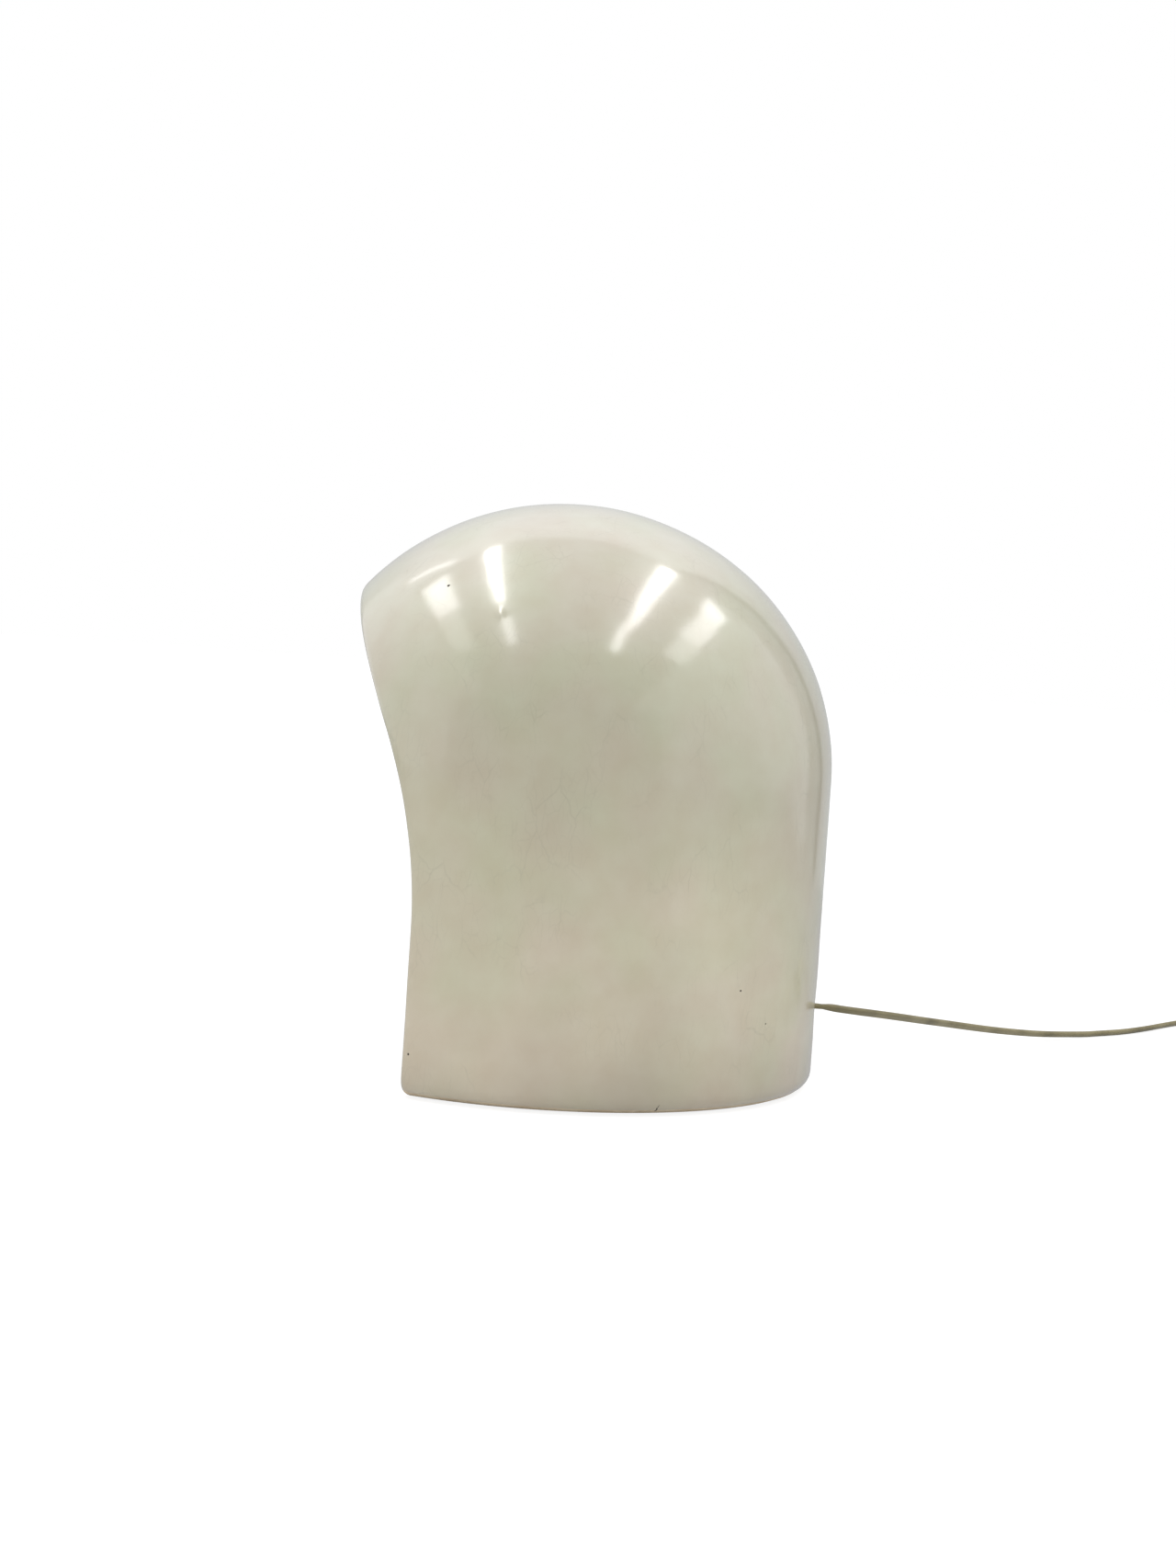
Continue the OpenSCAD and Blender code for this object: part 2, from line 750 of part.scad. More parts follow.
// A seesaw seen from the side: two flats on top, and a toe below that pushes the spring
module rocker_profile() {
    top = 3.4;
    polygon([[-rocker_l/2, -1.5], [-rocker_l/2, 2.2], [-rocker_l/2 + 1, top], [0, 2.4],
        [rocker_l/2 - 1, top], [rocker_l/2, 2.2], [rocker_l/2, -1.5], [2, -2.6],
        [1, -4.2], [-1, -4.2], [-2, -2.6]]);
}

module switch_rocker() {
    color("#4b4640")
        in_switch()
            translate([0, 0, rocker_axis_z]) rotate([0, rocker_tilt, 0]) {
                translate([0, rocker_w/2, 0]) rotate([90, 0, 0])
                    linear_extrude(rocker_w) rocker_profile();
                translate([0, rocker_w/2 + stub_l, 0]) rotate([90, 0, 0])
                    cylinder(r = stub_r, h = rocker_w + 2*stub_l, $fn = 48);
            }
}

spring_top = rocker_axis_z - 4.2 - soft_clear;

module switch_spring() {
    color("#c2a35a")
        in_switch()
            translate([0, 2.5, 0]) rotate([90, 0, 0])
                linear_extrude(5)
                    polygon([[-15, switch_wall], [-15, 4.4], [-7, 7], [0, spring_top],
                        [9, 6.2], [9, 5.7], [0, spring_top - 0.5], [-7, 6.5], [-14.5, 4.1],
                        [-14.5, switch_wall + 0.5], [-11, switch_wall + 0.5],
                        [-11, switch_wall]]);
}

module switch_contacts() {
    color("#c2a35a")
        in_switch() {
            translate([8, -2.5, switch_wall]) cube([6, 5, 2]);
            translate([8.5, -2, switch_wall + 2]) cube([2, 4, 1]);
            translate([-9, -8.5, switch_wall]) cube([18, 2, 3]);
        }
}

module switch_screws() {
    color("silver")
        in_switch()
            difference() {
                union() {
                    switch_posts(2.6, 0.3, 1.3);
                    switch_posts(1.2, 0.3, switch_split + 4);
                }
                for (side = [-1, 1])
                    translate([side*(switch_l/2 - 13) - 3, -0.3, -0.5]) cube([6, 0.6, 1.3]);
            }
}

coil_entry = [coil_at.x - 4, coil_at.y + coil_r + turn_w, coil_foot + layer_h/2];

module flex_to_coil() {
    mouth = switch_point(switch_l/2 + 2);
    color("#b3aa8c")
        flex_tube([switch_point(switch_l/2 - flex_entry), mouth, mouth + [7, -0.8, -1.6],
            mouth + [14, -1.6, -3.6], coil_entry]);
}

module flex_coil() {
    color("#b3aa8c")
        translate([coil_at.x, coil_at.y, coil_foot])
            rotate_extrude($fn = fine)
                translate([coil_r - coil_w/2, 0])
                    polygon([[1, 0], [coil_w - 1, 0], [coil_w, 1], [coil_w, coil_h - 1],
                        [coil_w - 1, coil_h], [1, coil_h], [0, coil_h - 1], [0, 1]]);
}

module flex_tail() {
    color("#b3aa8c")
        flex_tube(concat(smooth(concat(flex_tail_route, [plug_end(plug_l + plug_boot + 4)]), 3),
            [plug_end(plug_l + plug_boot)]));
}

module coil_tie() {
    gap = soft_clear;
    color("#3b3936")
        translate([coil_at.x, coil_at.y, 0]) rotate(tie_angle)
            translate([coil_r - coil_w/2 - tie_t - gap, tie_w/2, 0]) rotate([90, 0, 0])
                linear_extrude(tie_w)
                    difference() {
                        square([coil_w + 2*tie_t + 2*gap, coil_h + coil_foot + tie_t + gap]);
                        translate([tie_t, coil_foot])
                            square([coil_w + 2*gap, coil_h + gap]);
                    }
}

// The plug's body narrows from its face to a ribbed boot around the flex
module plug_body() {
    boot_ribs = 3;
    color("#e6e0cf")
        in_plug() {
            intersection() {
                translate([0, 0, -plug_t/2]) linear_extrude(plug_t)
                    polygon([[0, -plug_w/2 + 3], [0, plug_w/2 - 3], [-3, plug_w/2],
                        [-0.4*plug_l, plug_w/2], [-0.8*plug_l, 8], [-plug_l, 6],
                        [-plug_l, -6], [-0.8*plug_l, -8], [-0.4*plug_l, -plug_w/2],
                        [-3, -plug_w/2]]);
                translate([0, plug_w, 0]) rotate([90, 0, 0]) linear_extrude(2*plug_w)
                    polygon([[0, -plug_t/2 + 2], [0, plug_t/2 - 2], [-2, plug_t/2],
                        [-0.5*plug_l, plug_t/2], [-plug_l, 4.6], [-plug_l, -4.6],
                        [-0.5*plug_l, -plug_t/2], [-2, -plug_t/2]]);
            }
            translate([-plug_l, 0, 0]) rotate([0, -90, 0])
                cylinder(r1 = 4.4, r2 = 3.2, h = plug_boot, $fn = 48);
            for (i = [1:boot_ribs])
                translate([-plug_l - i*plug_boot/(boot_ribs + 1), 0, 0]) rotate([0, -90, 0])
                    cylinder(r = 4.8 - 0.3*i, h = 1.8, $fn = 48);
        }
}

module at_pins() {
    in_plug() for (side = [-1, 1])
        translate([0, side*pin_pitch/2, 0]) rotate([0, 90, 0]) children();
}

sleeve_l = 10;
sleeve_step = 0.2;

module plug_pins() {
    color("#c9c2a8")
        at_pins() {
            cylinder(r = pin_r - 0.7, h = sleeve_l, $fn = 48);
            translate([0, 0, sleeve_l]) cylinder(r = pin_r, h = pin_l - sleeve_l - 1, $fn = 48);
            translate([0, 0, pin_l - 1]) cylinder(r1 = pin_r, r2 = pin_r - 0.8, h = 1, $fn = 48);
        }
}

module pin_sleeves() {
    color("#e6e0cf") at_pins() tube(pin_r - sleeve_step, pin_r - 0.7 + clear, sleeve_l);
}

hood();
felt_pads();
bridge();
bridge_screws();
fibre_washers();
bridge_nuts();
nipple();
nipple_locknut();
toothed_washer();
cord_grip();
cord_grip_screw();
holder_cap();
holder_skirt();
porcelain_insert();
screw_shell();
centre_contact();
terminals();
terminal_screws();
live_core();
neutral_core();
lead_inside();
bulb_glass();
bulb_cap();
bulb_insulator();
bulb_tip();
bulb_stem();
bulb_supports();
bulb_filament();
flex_near();
switch_base();
switch_cover();
switch_rocker();
switch_spring();
switch_contacts();
switch_screws();
flex_to_coil();
flex_coil();
flex_tail();
coil_tie();
plug_body();
plug_pins();
pin_sleeves();
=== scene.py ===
import math

import bmesh
import bpy
from mathutils import Matrix, Quaternion, Vector, noise
from mathutils.bvhtree import BVHTree


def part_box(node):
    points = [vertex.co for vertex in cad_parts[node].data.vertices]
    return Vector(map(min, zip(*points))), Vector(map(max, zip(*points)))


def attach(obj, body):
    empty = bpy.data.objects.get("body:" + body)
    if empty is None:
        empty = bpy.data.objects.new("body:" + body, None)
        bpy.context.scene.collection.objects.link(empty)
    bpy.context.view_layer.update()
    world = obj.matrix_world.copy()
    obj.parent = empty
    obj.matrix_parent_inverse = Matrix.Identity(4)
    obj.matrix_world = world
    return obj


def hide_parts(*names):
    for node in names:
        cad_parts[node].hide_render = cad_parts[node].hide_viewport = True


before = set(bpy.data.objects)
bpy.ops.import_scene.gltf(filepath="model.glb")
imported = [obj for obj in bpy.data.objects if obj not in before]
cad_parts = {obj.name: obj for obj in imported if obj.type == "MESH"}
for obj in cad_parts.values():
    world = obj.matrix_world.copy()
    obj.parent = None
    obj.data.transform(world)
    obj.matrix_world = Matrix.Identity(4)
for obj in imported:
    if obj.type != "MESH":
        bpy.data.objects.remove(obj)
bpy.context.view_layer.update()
scene = bpy.context.scene
mm = 0.001
tiny = 1e-6    # less than this is only rounding
hoodRadius = 145.0    # of the round wall outside, as in the CAD model

# Camera: a little above the lamp's middle, looking at its right side
camera = {
    "place": (1.29489, 0.07360, 0.22212),
    "aim": (-0.00108, -0.00251, 0.15388),
    "roll": 3.87,
    "lens": 55.19,
    "sensorWidth": 36.0,
    "shiftX": 0.0,
    "shiftY": 0.0,
    "nearest": 0.02,
    "farthest": 60,
    # Where along a ray that misses the nearest place is looked for: from here, in such steps
    "searchFrom": 0.8,
    "searchStep": 0.004,
    "searchSteps": 250,
}

# Image points, in the photograph's frame scaled to a long side of 1568
imageWidth = 1176
imageHeight = 1568
imagePoints = {
    "leftEdge": 360.4,
    "rightEdge": 832.0,
    "topEdge": 503.8,
    "bottomEdge": 1113.0,
    "browTip": (360.4, 606.7),
    "rimWaist": (411.6, 903.1),
    "frontCorner": (404.2, 1092.2),
    "cordExit": (815.0, 1005.9),
    "cordMiddle": (919.1, 1019.8),
    "cordLowest": (1067.8, 1034.4),
    "edgeCrack": (657.2, 1108.4),
    "glazeBump": (500.9, 614.0),
    "speckBrow": (448.5, 585.5),
    "speckBack": (740.8, 990.8),
    "speckLow": (765.6, 1023.9),
    "speckFront": (408.1, 1054.2),
}

forward = (Vector(camera["aim"]) - Vector(camera["place"])).normalized()
cameraData = bpy.data.cameras.new("photoCamera")
cameraData.lens = camera["lens"]
cameraData.sensor_width = camera["sensorWidth"]
cameraData.sensor_fit = "AUTO"
cameraData.shift_x = camera["shiftX"]
cameraData.shift_y = camera["shiftY"]
cameraData.clip_start = camera["nearest"]
cameraData.clip_end = camera["farthest"]
photoCamera = bpy.data.objects.new("photoCamera", cameraData)
turned = forward.to_track_quat("-Z", "Y") @ Quaternion((0, 0, 1), math.radians(camera["roll"]))
photoCamera.matrix_world = Matrix.Translation(camera["place"]) @ turned.to_matrix().to_4x4()
scene.collection.objects.link(photoCamera)
scene.camera = photoCamera
cameraTurn = turned.to_matrix()
cameraPlace = Vector(camera["place"])
longSide = max(imageWidth, imageHeight)
print("camera set")


def linear(hexText):
    # sRGB hex to the linear colour that a shader takes
    parts = [int(hexText[i:i + 2], 16) / 255 for i in (0, 2, 4)]
    bent = [p / 12.92 if p <= 0.04045 else ((p + 0.055) / 1.055) ** 2.4 for p in parts]
    return (*bent, 1.0)


def addNode(tree, kind, links=None, stops=None, **settings):
    made = tree.nodes.new(kind)
    for name, value in settings.items():
        setattr(made, name, value)
    for name, value in (links or {}).items():
        if isinstance(value, bpy.types.NodeSocket):
            tree.links.new(value, made.inputs[name])
        else:
            made.inputs[name].default_value = value
    if stops:
        ramp = made.color_ramp.elements
        while len(ramp) < len(stops):
            ramp.new(0.5)
        for element, (place, colour) in zip(ramp, stops):
            element.position = place
            element.color = colour
    return made


# Nearly all of a noise texture's values lie between these two
noiseLow = 0.3
noiseHigh = 0.7
plainEdge = 0.25    # the rounding of an edge, in mm, where a finish names none


def newSurface(name, **shader):
    # A material with its main shader, and the piece's own coordinates in metres
    material = bpy.data.materials.new(name)
    material.use_nodes = True
    tree = material.node_tree
    surface = tree.nodes["Principled BSDF"]
    for socket, value in shader.items():
        surface.inputs[socket.replace("_", " ")].default_value = value
    place = addNode(tree, "ShaderNodeTexCoord").outputs["Object"]
    return material, tree, surface, place


def toneStops(tones, low=noiseLow, high=noiseHigh):
    # The tones of a colour ramp, evenly spaced from low to high
    return [(low + (high - low) * i / (len(tones) - 1), linear(tone))
            for i, tone in enumerate(tones)]


def makeFinish(name, look):
    # Patches of two or three tones, a grain in the roughness, a bump of real depth, and edges
    # that catch the light as moulded and pressed ones do
    material, tree, surface, place = newSurface(name, **look.get("shader", {}))
    edge = look.get("edge", plainEdge) * mm
    stretched = addNode(tree, "ShaderNodeMapping",
                        {"Vector": place, "Scale": look.get("stretch", (1, 1, 1))}).outputs[0]
    patches = addNode(tree, "ShaderNodeTexNoise",
                      {"Vector": stretched, "Scale": 1 / (look["patch"] * mm), "Detail": 3})
    colour = addNode(tree, "ShaderNodeValToRGB", {"Fac": patches.outputs["Fac"]},
                     toneStops(look["tones"]))
    tree.links.new(colour.outputs["Color"], surface.inputs["Base Color"])
    grain = addNode(tree, "ShaderNodeTexNoise",
                    {"Vector": stretched, "Scale": 1 / (look["grain"] * mm), "Detail": 4})
    smoothest, roughest = look["roughness"]
    rough = addNode(tree, "ShaderNodeMapRange",
                    {"Value": grain.outputs["Fac"], "From Min": noiseLow, "From Max": noiseHigh,
                     "To Min": smoothest, "To Max": roughest})
    tree.links.new(rough.outputs[0], surface.inputs["Roughness"])
    softEdge = addNode(tree, "ShaderNodeBevel", {"Radius": edge})
    bump = addNode(tree, "ShaderNodeBump",
                   {"Height": grain.outputs["Fac"], "Distance": look["depth"] * mm,
                    "Normal": softEdge.outputs[0]})
    tree.links.new(bump.outputs[0], surface.inputs["Normal"])
    return material


# Crackle-glazed earthenware: slip-cast body, dipped in a clear cream glaze and fired, so it has
# deep soft gloss, pink and green clouds under the glaze, and a net of fine cracks.
# Sizes and depths are millimetres, and strengths are shares of the crack's own colour
crackleGlaze = {
    # Tones up the height, from the foot to the crown: painted shade darkest at the foot by the
    # floor, and painted light from the floor's bounce just above it and from overhead on the crown
    "tones": ("bab3a0", "d3ccb6", "c7c3ac", "bfbca7", "c5c2af", "cdcaba"),
    "height": 300,
    "toneDrift": 0.5,    # how far clouds shift the tones, as a share of the height
    "cloudSize": 110,
    "tints": ("fafdf8", "fdfcfb", "fdf9fa"),
    "tintFrom": 0.35,
    "tintTo": 0.65,
    "tintSize": 48,
    "fineCloud": ("faf7f4", "ffffff"),
    "fineCloudSize": 14,
    "crack": "807c68",
    # The large net and the fine web in it: a real crack is near 0.05 mm, drawn wider to show
    "nets": ({"cell": 12, "width": 0.32, "strength": 0.13},
             {"cell": 4.5, "width": 0.22, "strength": 0.08}),
    "stretch": 0.33,    # the cracks run more up than across
    "crackDepth": 0.02,
    "wander": 5,    # how far noise pushes the cracks aside
    "wanderSize": 9,
    "patchSize": 26,    # the cracks show in patches only, where noise is above these values
    "patchFrom": 0.46,
    "patchFull": 0.66,
    "wave": 24,
    "waveDepth": 0.10,
    "peel": 1.7,
    "peelDepth": 0.013,
}


def makeGlaze():
    look = crackleGlaze
    material, tree, surface, place = newSurface(
        "crackleGlazedEarthenware", Roughness=0.36, IOR=1.5, Specular_IOR_Level=0.35,
        Coat_Weight=1.0, Coat_Roughness=0.13, Coat_IOR=1.52)
    upright = addNode(tree, "ShaderNodeSeparateXYZ", {"Vector": place}).outputs["Z"]
    clouds = addNode(tree, "ShaderNodeTexNoise",
                     {"Vector": place, "Scale": 1 / (look["cloudSize"] * mm), "Detail": 2})
    drift = look["toneDrift"]
    # The ramp up the height paints in shade at the foot and light low down and on the crown
    level = addNode(tree, "ShaderNodeMapRange",
                    {"Value": upright, "From Min": 0, "From Max": look["height"] * mm,
                     "To Min": -0.5 * drift, "To Max": 1 - 0.5 * drift})
    drifted = addNode(tree, "ShaderNodeMath",
                      {0: clouds.outputs["Fac"], 1: drift, 2: level.outputs[0]},
                      operation="MULTIPLY_ADD")
    base = addNode(tree, "ShaderNodeValToRGB", {"Fac": drifted.outputs[0]},
                   toneStops(look["tones"], 0, 1))
    tint = addNode(tree, "ShaderNodeTexNoise",
                   {"Vector": place, "Scale": 1 / (look["tintSize"] * mm), "Detail": 1})
    tinted = addNode(tree, "ShaderNodeValToRGB", {"Fac": tint.outputs["Fac"]},
                     toneStops(look["tints"], look["tintFrom"], look["tintTo"]))
    fine = addNode(tree, "ShaderNodeTexNoise",
                   {"Vector": place, "Scale": 1 / (look["fineCloudSize"] * mm), "Detail": 4})
    shade = addNode(tree, "ShaderNodeValToRGB", {"Fac": fine.outputs["Fac"]},
                    toneStops(look["fineCloud"]))
    colour = base.outputs["Color"]
    for layer in (tinted, shade):
        colour = addNode(tree, "ShaderNodeMix", {0: 1.0, 6: colour, 7: layer.outputs["Color"]},
                         data_type="RGBA", blend_type="MULTIPLY").outputs[2]
    # The crack lines wander, so the cells' coordinates are pushed about by noise
    push = addNode(tree, "ShaderNodeTexNoise",
                   {"Vector": place, "Scale": 1 / (look["wanderSize"] * mm)})
    pushed = addNode(tree, "ShaderNodeVectorMath",
                     {0: push.outputs["Color"], 1: (0.5, 0.5, 0.5)}, operation="SUBTRACT")
    moved = addNode(tree, "ShaderNodeVectorMath",
                    {0: pushed.outputs[0], 1: (look["wander"] * mm,) * 3, 2: place},
                    operation="MULTIPLY_ADD")
    drawn = addNode(tree, "ShaderNodeMapping", {"Vector": moved.outputs[0],
                                                "Scale": (1, 1, look["stretch"])})
    patches = addNode(tree, "ShaderNodeTexNoise",
                      {"Vector": place, "Scale": 1 / (look["patchSize"] * mm), "Detail": 3})
    showing = addNode(tree, "ShaderNodeMapRange",
                      {"Value": patches.outputs["Fac"], "From Min": look["patchFrom"],
                       "From Max": look["patchFull"]})
    fades = []
    for net in look["nets"]:
        cells = addNode(tree, "ShaderNodeTexVoronoi",
                        {"Vector": drawn.outputs[0], "Scale": 1 / (net["cell"] * mm)},
                        feature="DISTANCE_TO_EDGE")
        line = addNode(tree, "ShaderNodeMapRange",
                       {"Value": cells.outputs["Distance"], "From Min": 0,
                        "From Max": net["width"] / net["cell"], "To Min": net["strength"],
                        "To Max": 0})
        fade = addNode(tree, "ShaderNodeMath",
                       {0: line.outputs[0], 1: showing.outputs[0]}, operation="MULTIPLY")
        colour = addNode(tree, "ShaderNodeMix",
                         {0: fade.outputs[0], 6: colour, 7: linear(look["crack"])},
                         data_type="RGBA").outputs[2]
        fades.append(fade.outputs[0])
    tree.links.new(colour, surface.inputs["Base Color"])
    wave = addNode(tree, "ShaderNodeTexNoise",
                   {"Vector": place, "Scale": 1 / (look["wave"] * mm), "Detail": 1})
    waves = addNode(tree, "ShaderNodeBump",
                    {"Height": wave.outputs["Fac"], "Distance": look["waveDepth"] * mm})
    peel = addNode(tree, "ShaderNodeTexNoise",
                   {"Vector": place, "Scale": 1 / (look["peel"] * mm)})
    peeled = addNode(tree, "ShaderNodeBump",
                     {"Height": peel.outputs["Fac"], "Distance": look["peelDepth"] * mm,
                      "Normal": waves.outputs[0]})
    tree.links.new(peeled.outputs[0], surface.inputs["Coat Normal"])
    cracked = addNode(tree, "ShaderNodeBump",
                      {"Height": fades[0], "Distance": look["crackDepth"] * mm,
                       "Normal": waves.outputs[0]},
                      invert=True)
    tree.links.new(cracked.outputs[0], surface.inputs["Normal"])
    return material


# Opal flashed glass, blown: milky, even, with a hard gloss
opalGlass = {"tones": ("efede4", "f4f2ec"), "cloudSize": 22, "depth": 0.05}


def makeOpal():
    look = opalGlass
    material, tree, surface, place = newSurface(
        "opalGlass", Roughness=0.28, IOR=1.5, Subsurface_Weight=0.6,
        Subsurface_Radius=(0.02, 0.018, 0.015), Subsurface_Scale=0.4, Coat_Weight=1.0,
        Coat_Roughness=0.04)
    clouds = addNode(tree, "ShaderNodeTexNoise",
                     {"Vector": place, "Scale": 1 / (look["cloudSize"] * mm)})
    colour = addNode(tree, "ShaderNodeValToRGB", {"Fac": clouds.outputs["Fac"]},
                     toneStops(look["tones"]))
    tree.links.new(colour.outputs["Color"], surface.inputs["Base Color"])
    bump = addNode(tree, "ShaderNodeBump",
                   {"Height": clouds.outputs["Fac"], "Distance": look["depth"] * mm})
    tree.links.new(bump.outputs[0], surface.inputs["Coat Normal"])
    return material


# Lead glass of the bulb's stem, drawn and pinched: clear, with faint draw lines
stemGlass = {"tone": "f2f5f2", "lineSize": 3, "roughness": 0.06}


def makeClearGlass():
    look = stemGlass
    material, tree, surface, place = newSurface(
        "clearGlass", Base_Color=linear(look["tone"]), Transmission_Weight=1.0, IOR=1.52)
    lines = addNode(tree, "ShaderNodeTexNoise",
                    {"Vector": place, "Scale": 1 / (look["lineSize"] * mm)})
    rough = addNode(tree, "ShaderNodeMapRange",
                    {"Value": lines.outputs["Fac"], "To Min": 0.0, "To Max": look["roughness"]})
    tree.links.new(rough.outputs[0], surface.inputs["Roughness"])
    return material


# Pressed wool felt: no gloss, a haze of fibres that catches light at its edges. A real fibre is
# near 0.03 mm, drawn coarser to show
woolFelt = {"tones": ("55544d", "7d7c72"), "fibre": 0.5, "roughness": (0.85, 1.0), "depth": 0.3}


def makeFelt():
    look = woolFelt
    material, tree, surface, place = newSurface(
        "woolFelt", Sheen_Weight=0.6, Sheen_Roughness=0.5, Specular_IOR_Level=0.2)
    fibres = addNode(tree, "ShaderNodeTexNoise",
                     {"Vector": place, "Scale": 1 / (look["fibre"] * mm), "Detail": 8,
                      "Distortion": 1.5})
    colour = addNode(tree, "ShaderNodeValToRGB", {"Fac": fibres.outputs["Fac"]},
                     toneStops(look["tones"]))
    tree.links.new(colour.outputs["Color"], surface.inputs["Base Color"])
    smoothest, roughest = look["roughness"]
    rough = addNode(tree, "ShaderNodeMapRange",
                    {"Value": fibres.outputs["Fac"], "To Min": smoothest, "To Max": roughest})
    tree.links.new(rough.outputs[0], surface.inputs["Roughness"])
    bump = addNode(tree, "ShaderNodeBump",
                   {"Height": fibres.outputs["Fac"], "Distance": look["depth"] * mm})
    tree.links.new(bump.outputs[0], surface.inputs["Normal"])
    return material


# Tones are sRGB, sizes in millimetres; patch and grain are the sizes of clouds and of texture.
# Where the real grain is finer than a pixel it is drawn as coarse as it needs to show
finishes = {
    # Fired body where the glaze was wiped off: dry, chalky, finely pitted
    "bisque": {"tones": ("c9b79c", "d8cab2", "bfae94"), "patch": 18, "grain": 0.6,
               "roughness": (0.85, 0.97), "depth": 0.08},
    # Iron spots burnt through the glaze
    "ironSpot": {"tones": ("4a4032", "352d23"), "patch": 0.5, "grain": 0.3,
                 "roughness": (0.3, 0.5), "depth": 0.02},
    # Mild steel, zinc plated: pale grey, slightly clouded
    "zincSteel": {"tones": ("a8abad", "bcbdb9", "b0b3b8"), "patch": 4, "grain": 0.35,
                  "roughness": (0.28, 0.45), "depth": 0.01, "shader": {"Metallic": 1.0}},
    # Vulcanised fibre, punched: dull red-brown with laid fibres
    "vulcanFibre": {"tones": ("7d3f28", "96543a"), "patch": 2, "grain": 0.3,
                    "roughness": (0.6, 0.8), "depth": 0.03, "stretch": (1, 4, 1)},
    # Brass, turned: warm yellow, with tarnish in clouds
    "turnedBrass": {"tones": ("a88746", "c2a45e", "b0904e"), "patch": 3, "grain": 0.25,
                    "roughness": (0.22, 0.4), "depth": 0.008, "stretch": (1, 1, 8),
                    "shader": {"Metallic": 1.0}},
    # Nylon 66, moulded: milky cream, soft gloss
    "nylon": {"tones": ("ddd8c8", "e8e4d6"), "patch": 6, "grain": 0.4,
              "roughness": (0.35, 0.5), "depth": 0.01,
              "shader": {"Subsurface_Weight": 0.2, "Subsurface_Scale": 0.002}},
    # Phenolic, compression moulded: brown-black with faint flow marks
    "phenolic": {"tones": ("211b19", "332a26", "2a2321"), "patch": 5, "grain": 0.7,
                 "roughness": (0.18, 0.34), "depth": 0.008, "edge": 0.6,
                 "shader": {"Coat_Weight": 0.3}},
    # Unglazed technical porcelain: white, eggshell gloss
    "porcelain": {"tones": ("e6e3d8", "f1eee5"), "patch": 7, "grain": 0.5,
                  "roughness": (0.3, 0.45), "depth": 0.015, "shader": {"Coat_Weight": 0.5}},
    # PVC insulation, extruded, brown for the live core
    "brownCore": {"tones": ("6b3f25", "84502f"), "patch": 3, "grain": 0.3,
                  "roughness": (0.35, 0.5), "depth": 0.01},
    # PVC insulation, extruded, blue for the neutral core
    "blueCore": {"tones": ("4f76a2", "648cb6"), "patch": 3, "grain": 0.3,
                 "roughness": (0.35, 0.5), "depth": 0.01},
    # PVC flex sheath, extruded and aged: beige gone olive, its tones darkened to paint in the
    # shade that falls on the flex
    "agedFlex": {"tones": ("6f6749", "857c5b", "948b6a"), "patch": 26, "grain": 0.6,
                 "roughness": (0.38, 0.55), "depth": 0.02},
    # Nickel plate on brass, rolled thread: pale warm silver
    "nickelBrass": {"tones": ("b8b19c", "d2ccb8", "c4bda8"), "patch": 5, "grain": 0.3,
                    "roughness": (0.18, 0.34), "depth": 0.006, "shader": {"Metallic": 1.0}},
    # Black glass, cast in the cap: glossy black with bubbles
    "blackGlass": {"tones": ("101012", "1d1b20"), "patch": 2, "grain": 0.4,
                   "roughness": (0.05, 0.18), "depth": 0.02, "shader": {"Coat_Weight": 0.6}},
    # Tin-lead solder, melted on: dull silver blob
    "solder": {"tones": ("8f9092", "adaeac"), "patch": 1.5, "grain": 0.4,
               "roughness": (0.3, 0.5), "depth": 0.03, "shader": {"Metallic": 1.0}},
    # Tungsten, drawn and sintered: dark grey metal
    "tungsten": {"tones": ("55534f", "6c6964"), "patch": 1, "grain": 0.15,
                 "roughness": (0.35, 0.5), "depth": 0.004, "shader": {"Metallic": 1.0}},
    # ABS, moulded and yellowed: cream with a fine spark-eroded texture
    "creamAbs": {"tones": ("dcd5c0", "e8e2cf", "e2dbc6"), "patch": 16, "grain": 0.45,
                 "roughness": (0.36, 0.52), "depth": 0.02, "edge": 1.3},
    # ABS, moulded in dark brown: smooth, finger-polished
    "brownAbs": {"tones": ("433c36", "544c45"), "patch": 6, "grain": 0.5,
                 "roughness": (0.24, 0.4), "depth": 0.01},
    # PVC strip over a wire, extruded: near-black, soft gloss
    "tiePvc": {"tones": ("2e2c2e", "434042"), "patch": 5, "grain": 0.4,
               "roughness": (0.35, 0.5), "depth": 0.02},
    # PVC, moulded on the flex: cream, semi-matt, slightly waxy
    "creamPvc": {"tones": ("ddd6c2", "e9e3d1", "e1d9c3"), "patch": 12, "grain": 0.5,
                 "roughness": (0.42, 0.58), "depth": 0.02},
}
made = {name: makeFinish(name, look) for name, look in finishes.items()}
made["crackleGlaze"] = makeGlaze()
made["opal"] = makeOpal()
made["clearGlass"] = makeClearGlass()
made["felt"] = makeFelt()
print("finishes made:", len(made))


weldDistance = 0.001 * mm    # for turned shapes, whose points meet on the axis


def startMesh(vertices, faces, merged=0):
    # A mesh in the making, with points closer than merged joined and all faces looking out
    shaped = bmesh.new()
    placed = [shaped.verts.new(v) for v in vertices]
    for face in faces:
        shaped.faces.new([placed[k] for k in face])
    if merged:
        bmesh.ops.remove_doubles(shaped, verts=shaped.verts, dist=merged)
    bmesh.ops.recalc_face_normals(shaped, faces=shaped.faces)
    return shaped


def placeMesh(name, shaped):
    mesh = bpy.data.meshes.new(name)
    shaped.to_mesh(mesh)
    shaped.free()
    piece = bpy.data.objects.new(name, mesh)
    scene.collection.objects.link(piece)
    return piece


def finishPiece(piece, finishNames, body, replaced=(), smoothAngle=60):
    for finishName in finishNames:
        piece.data.materials.append(made[finishName])
    piece.data.shade_smooth()
    piece.data.set_sharp_from_angle(angle=math.radians(smoothAngle))
    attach(piece, body)
    if replaced:
        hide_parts(*replaced)
    return piece


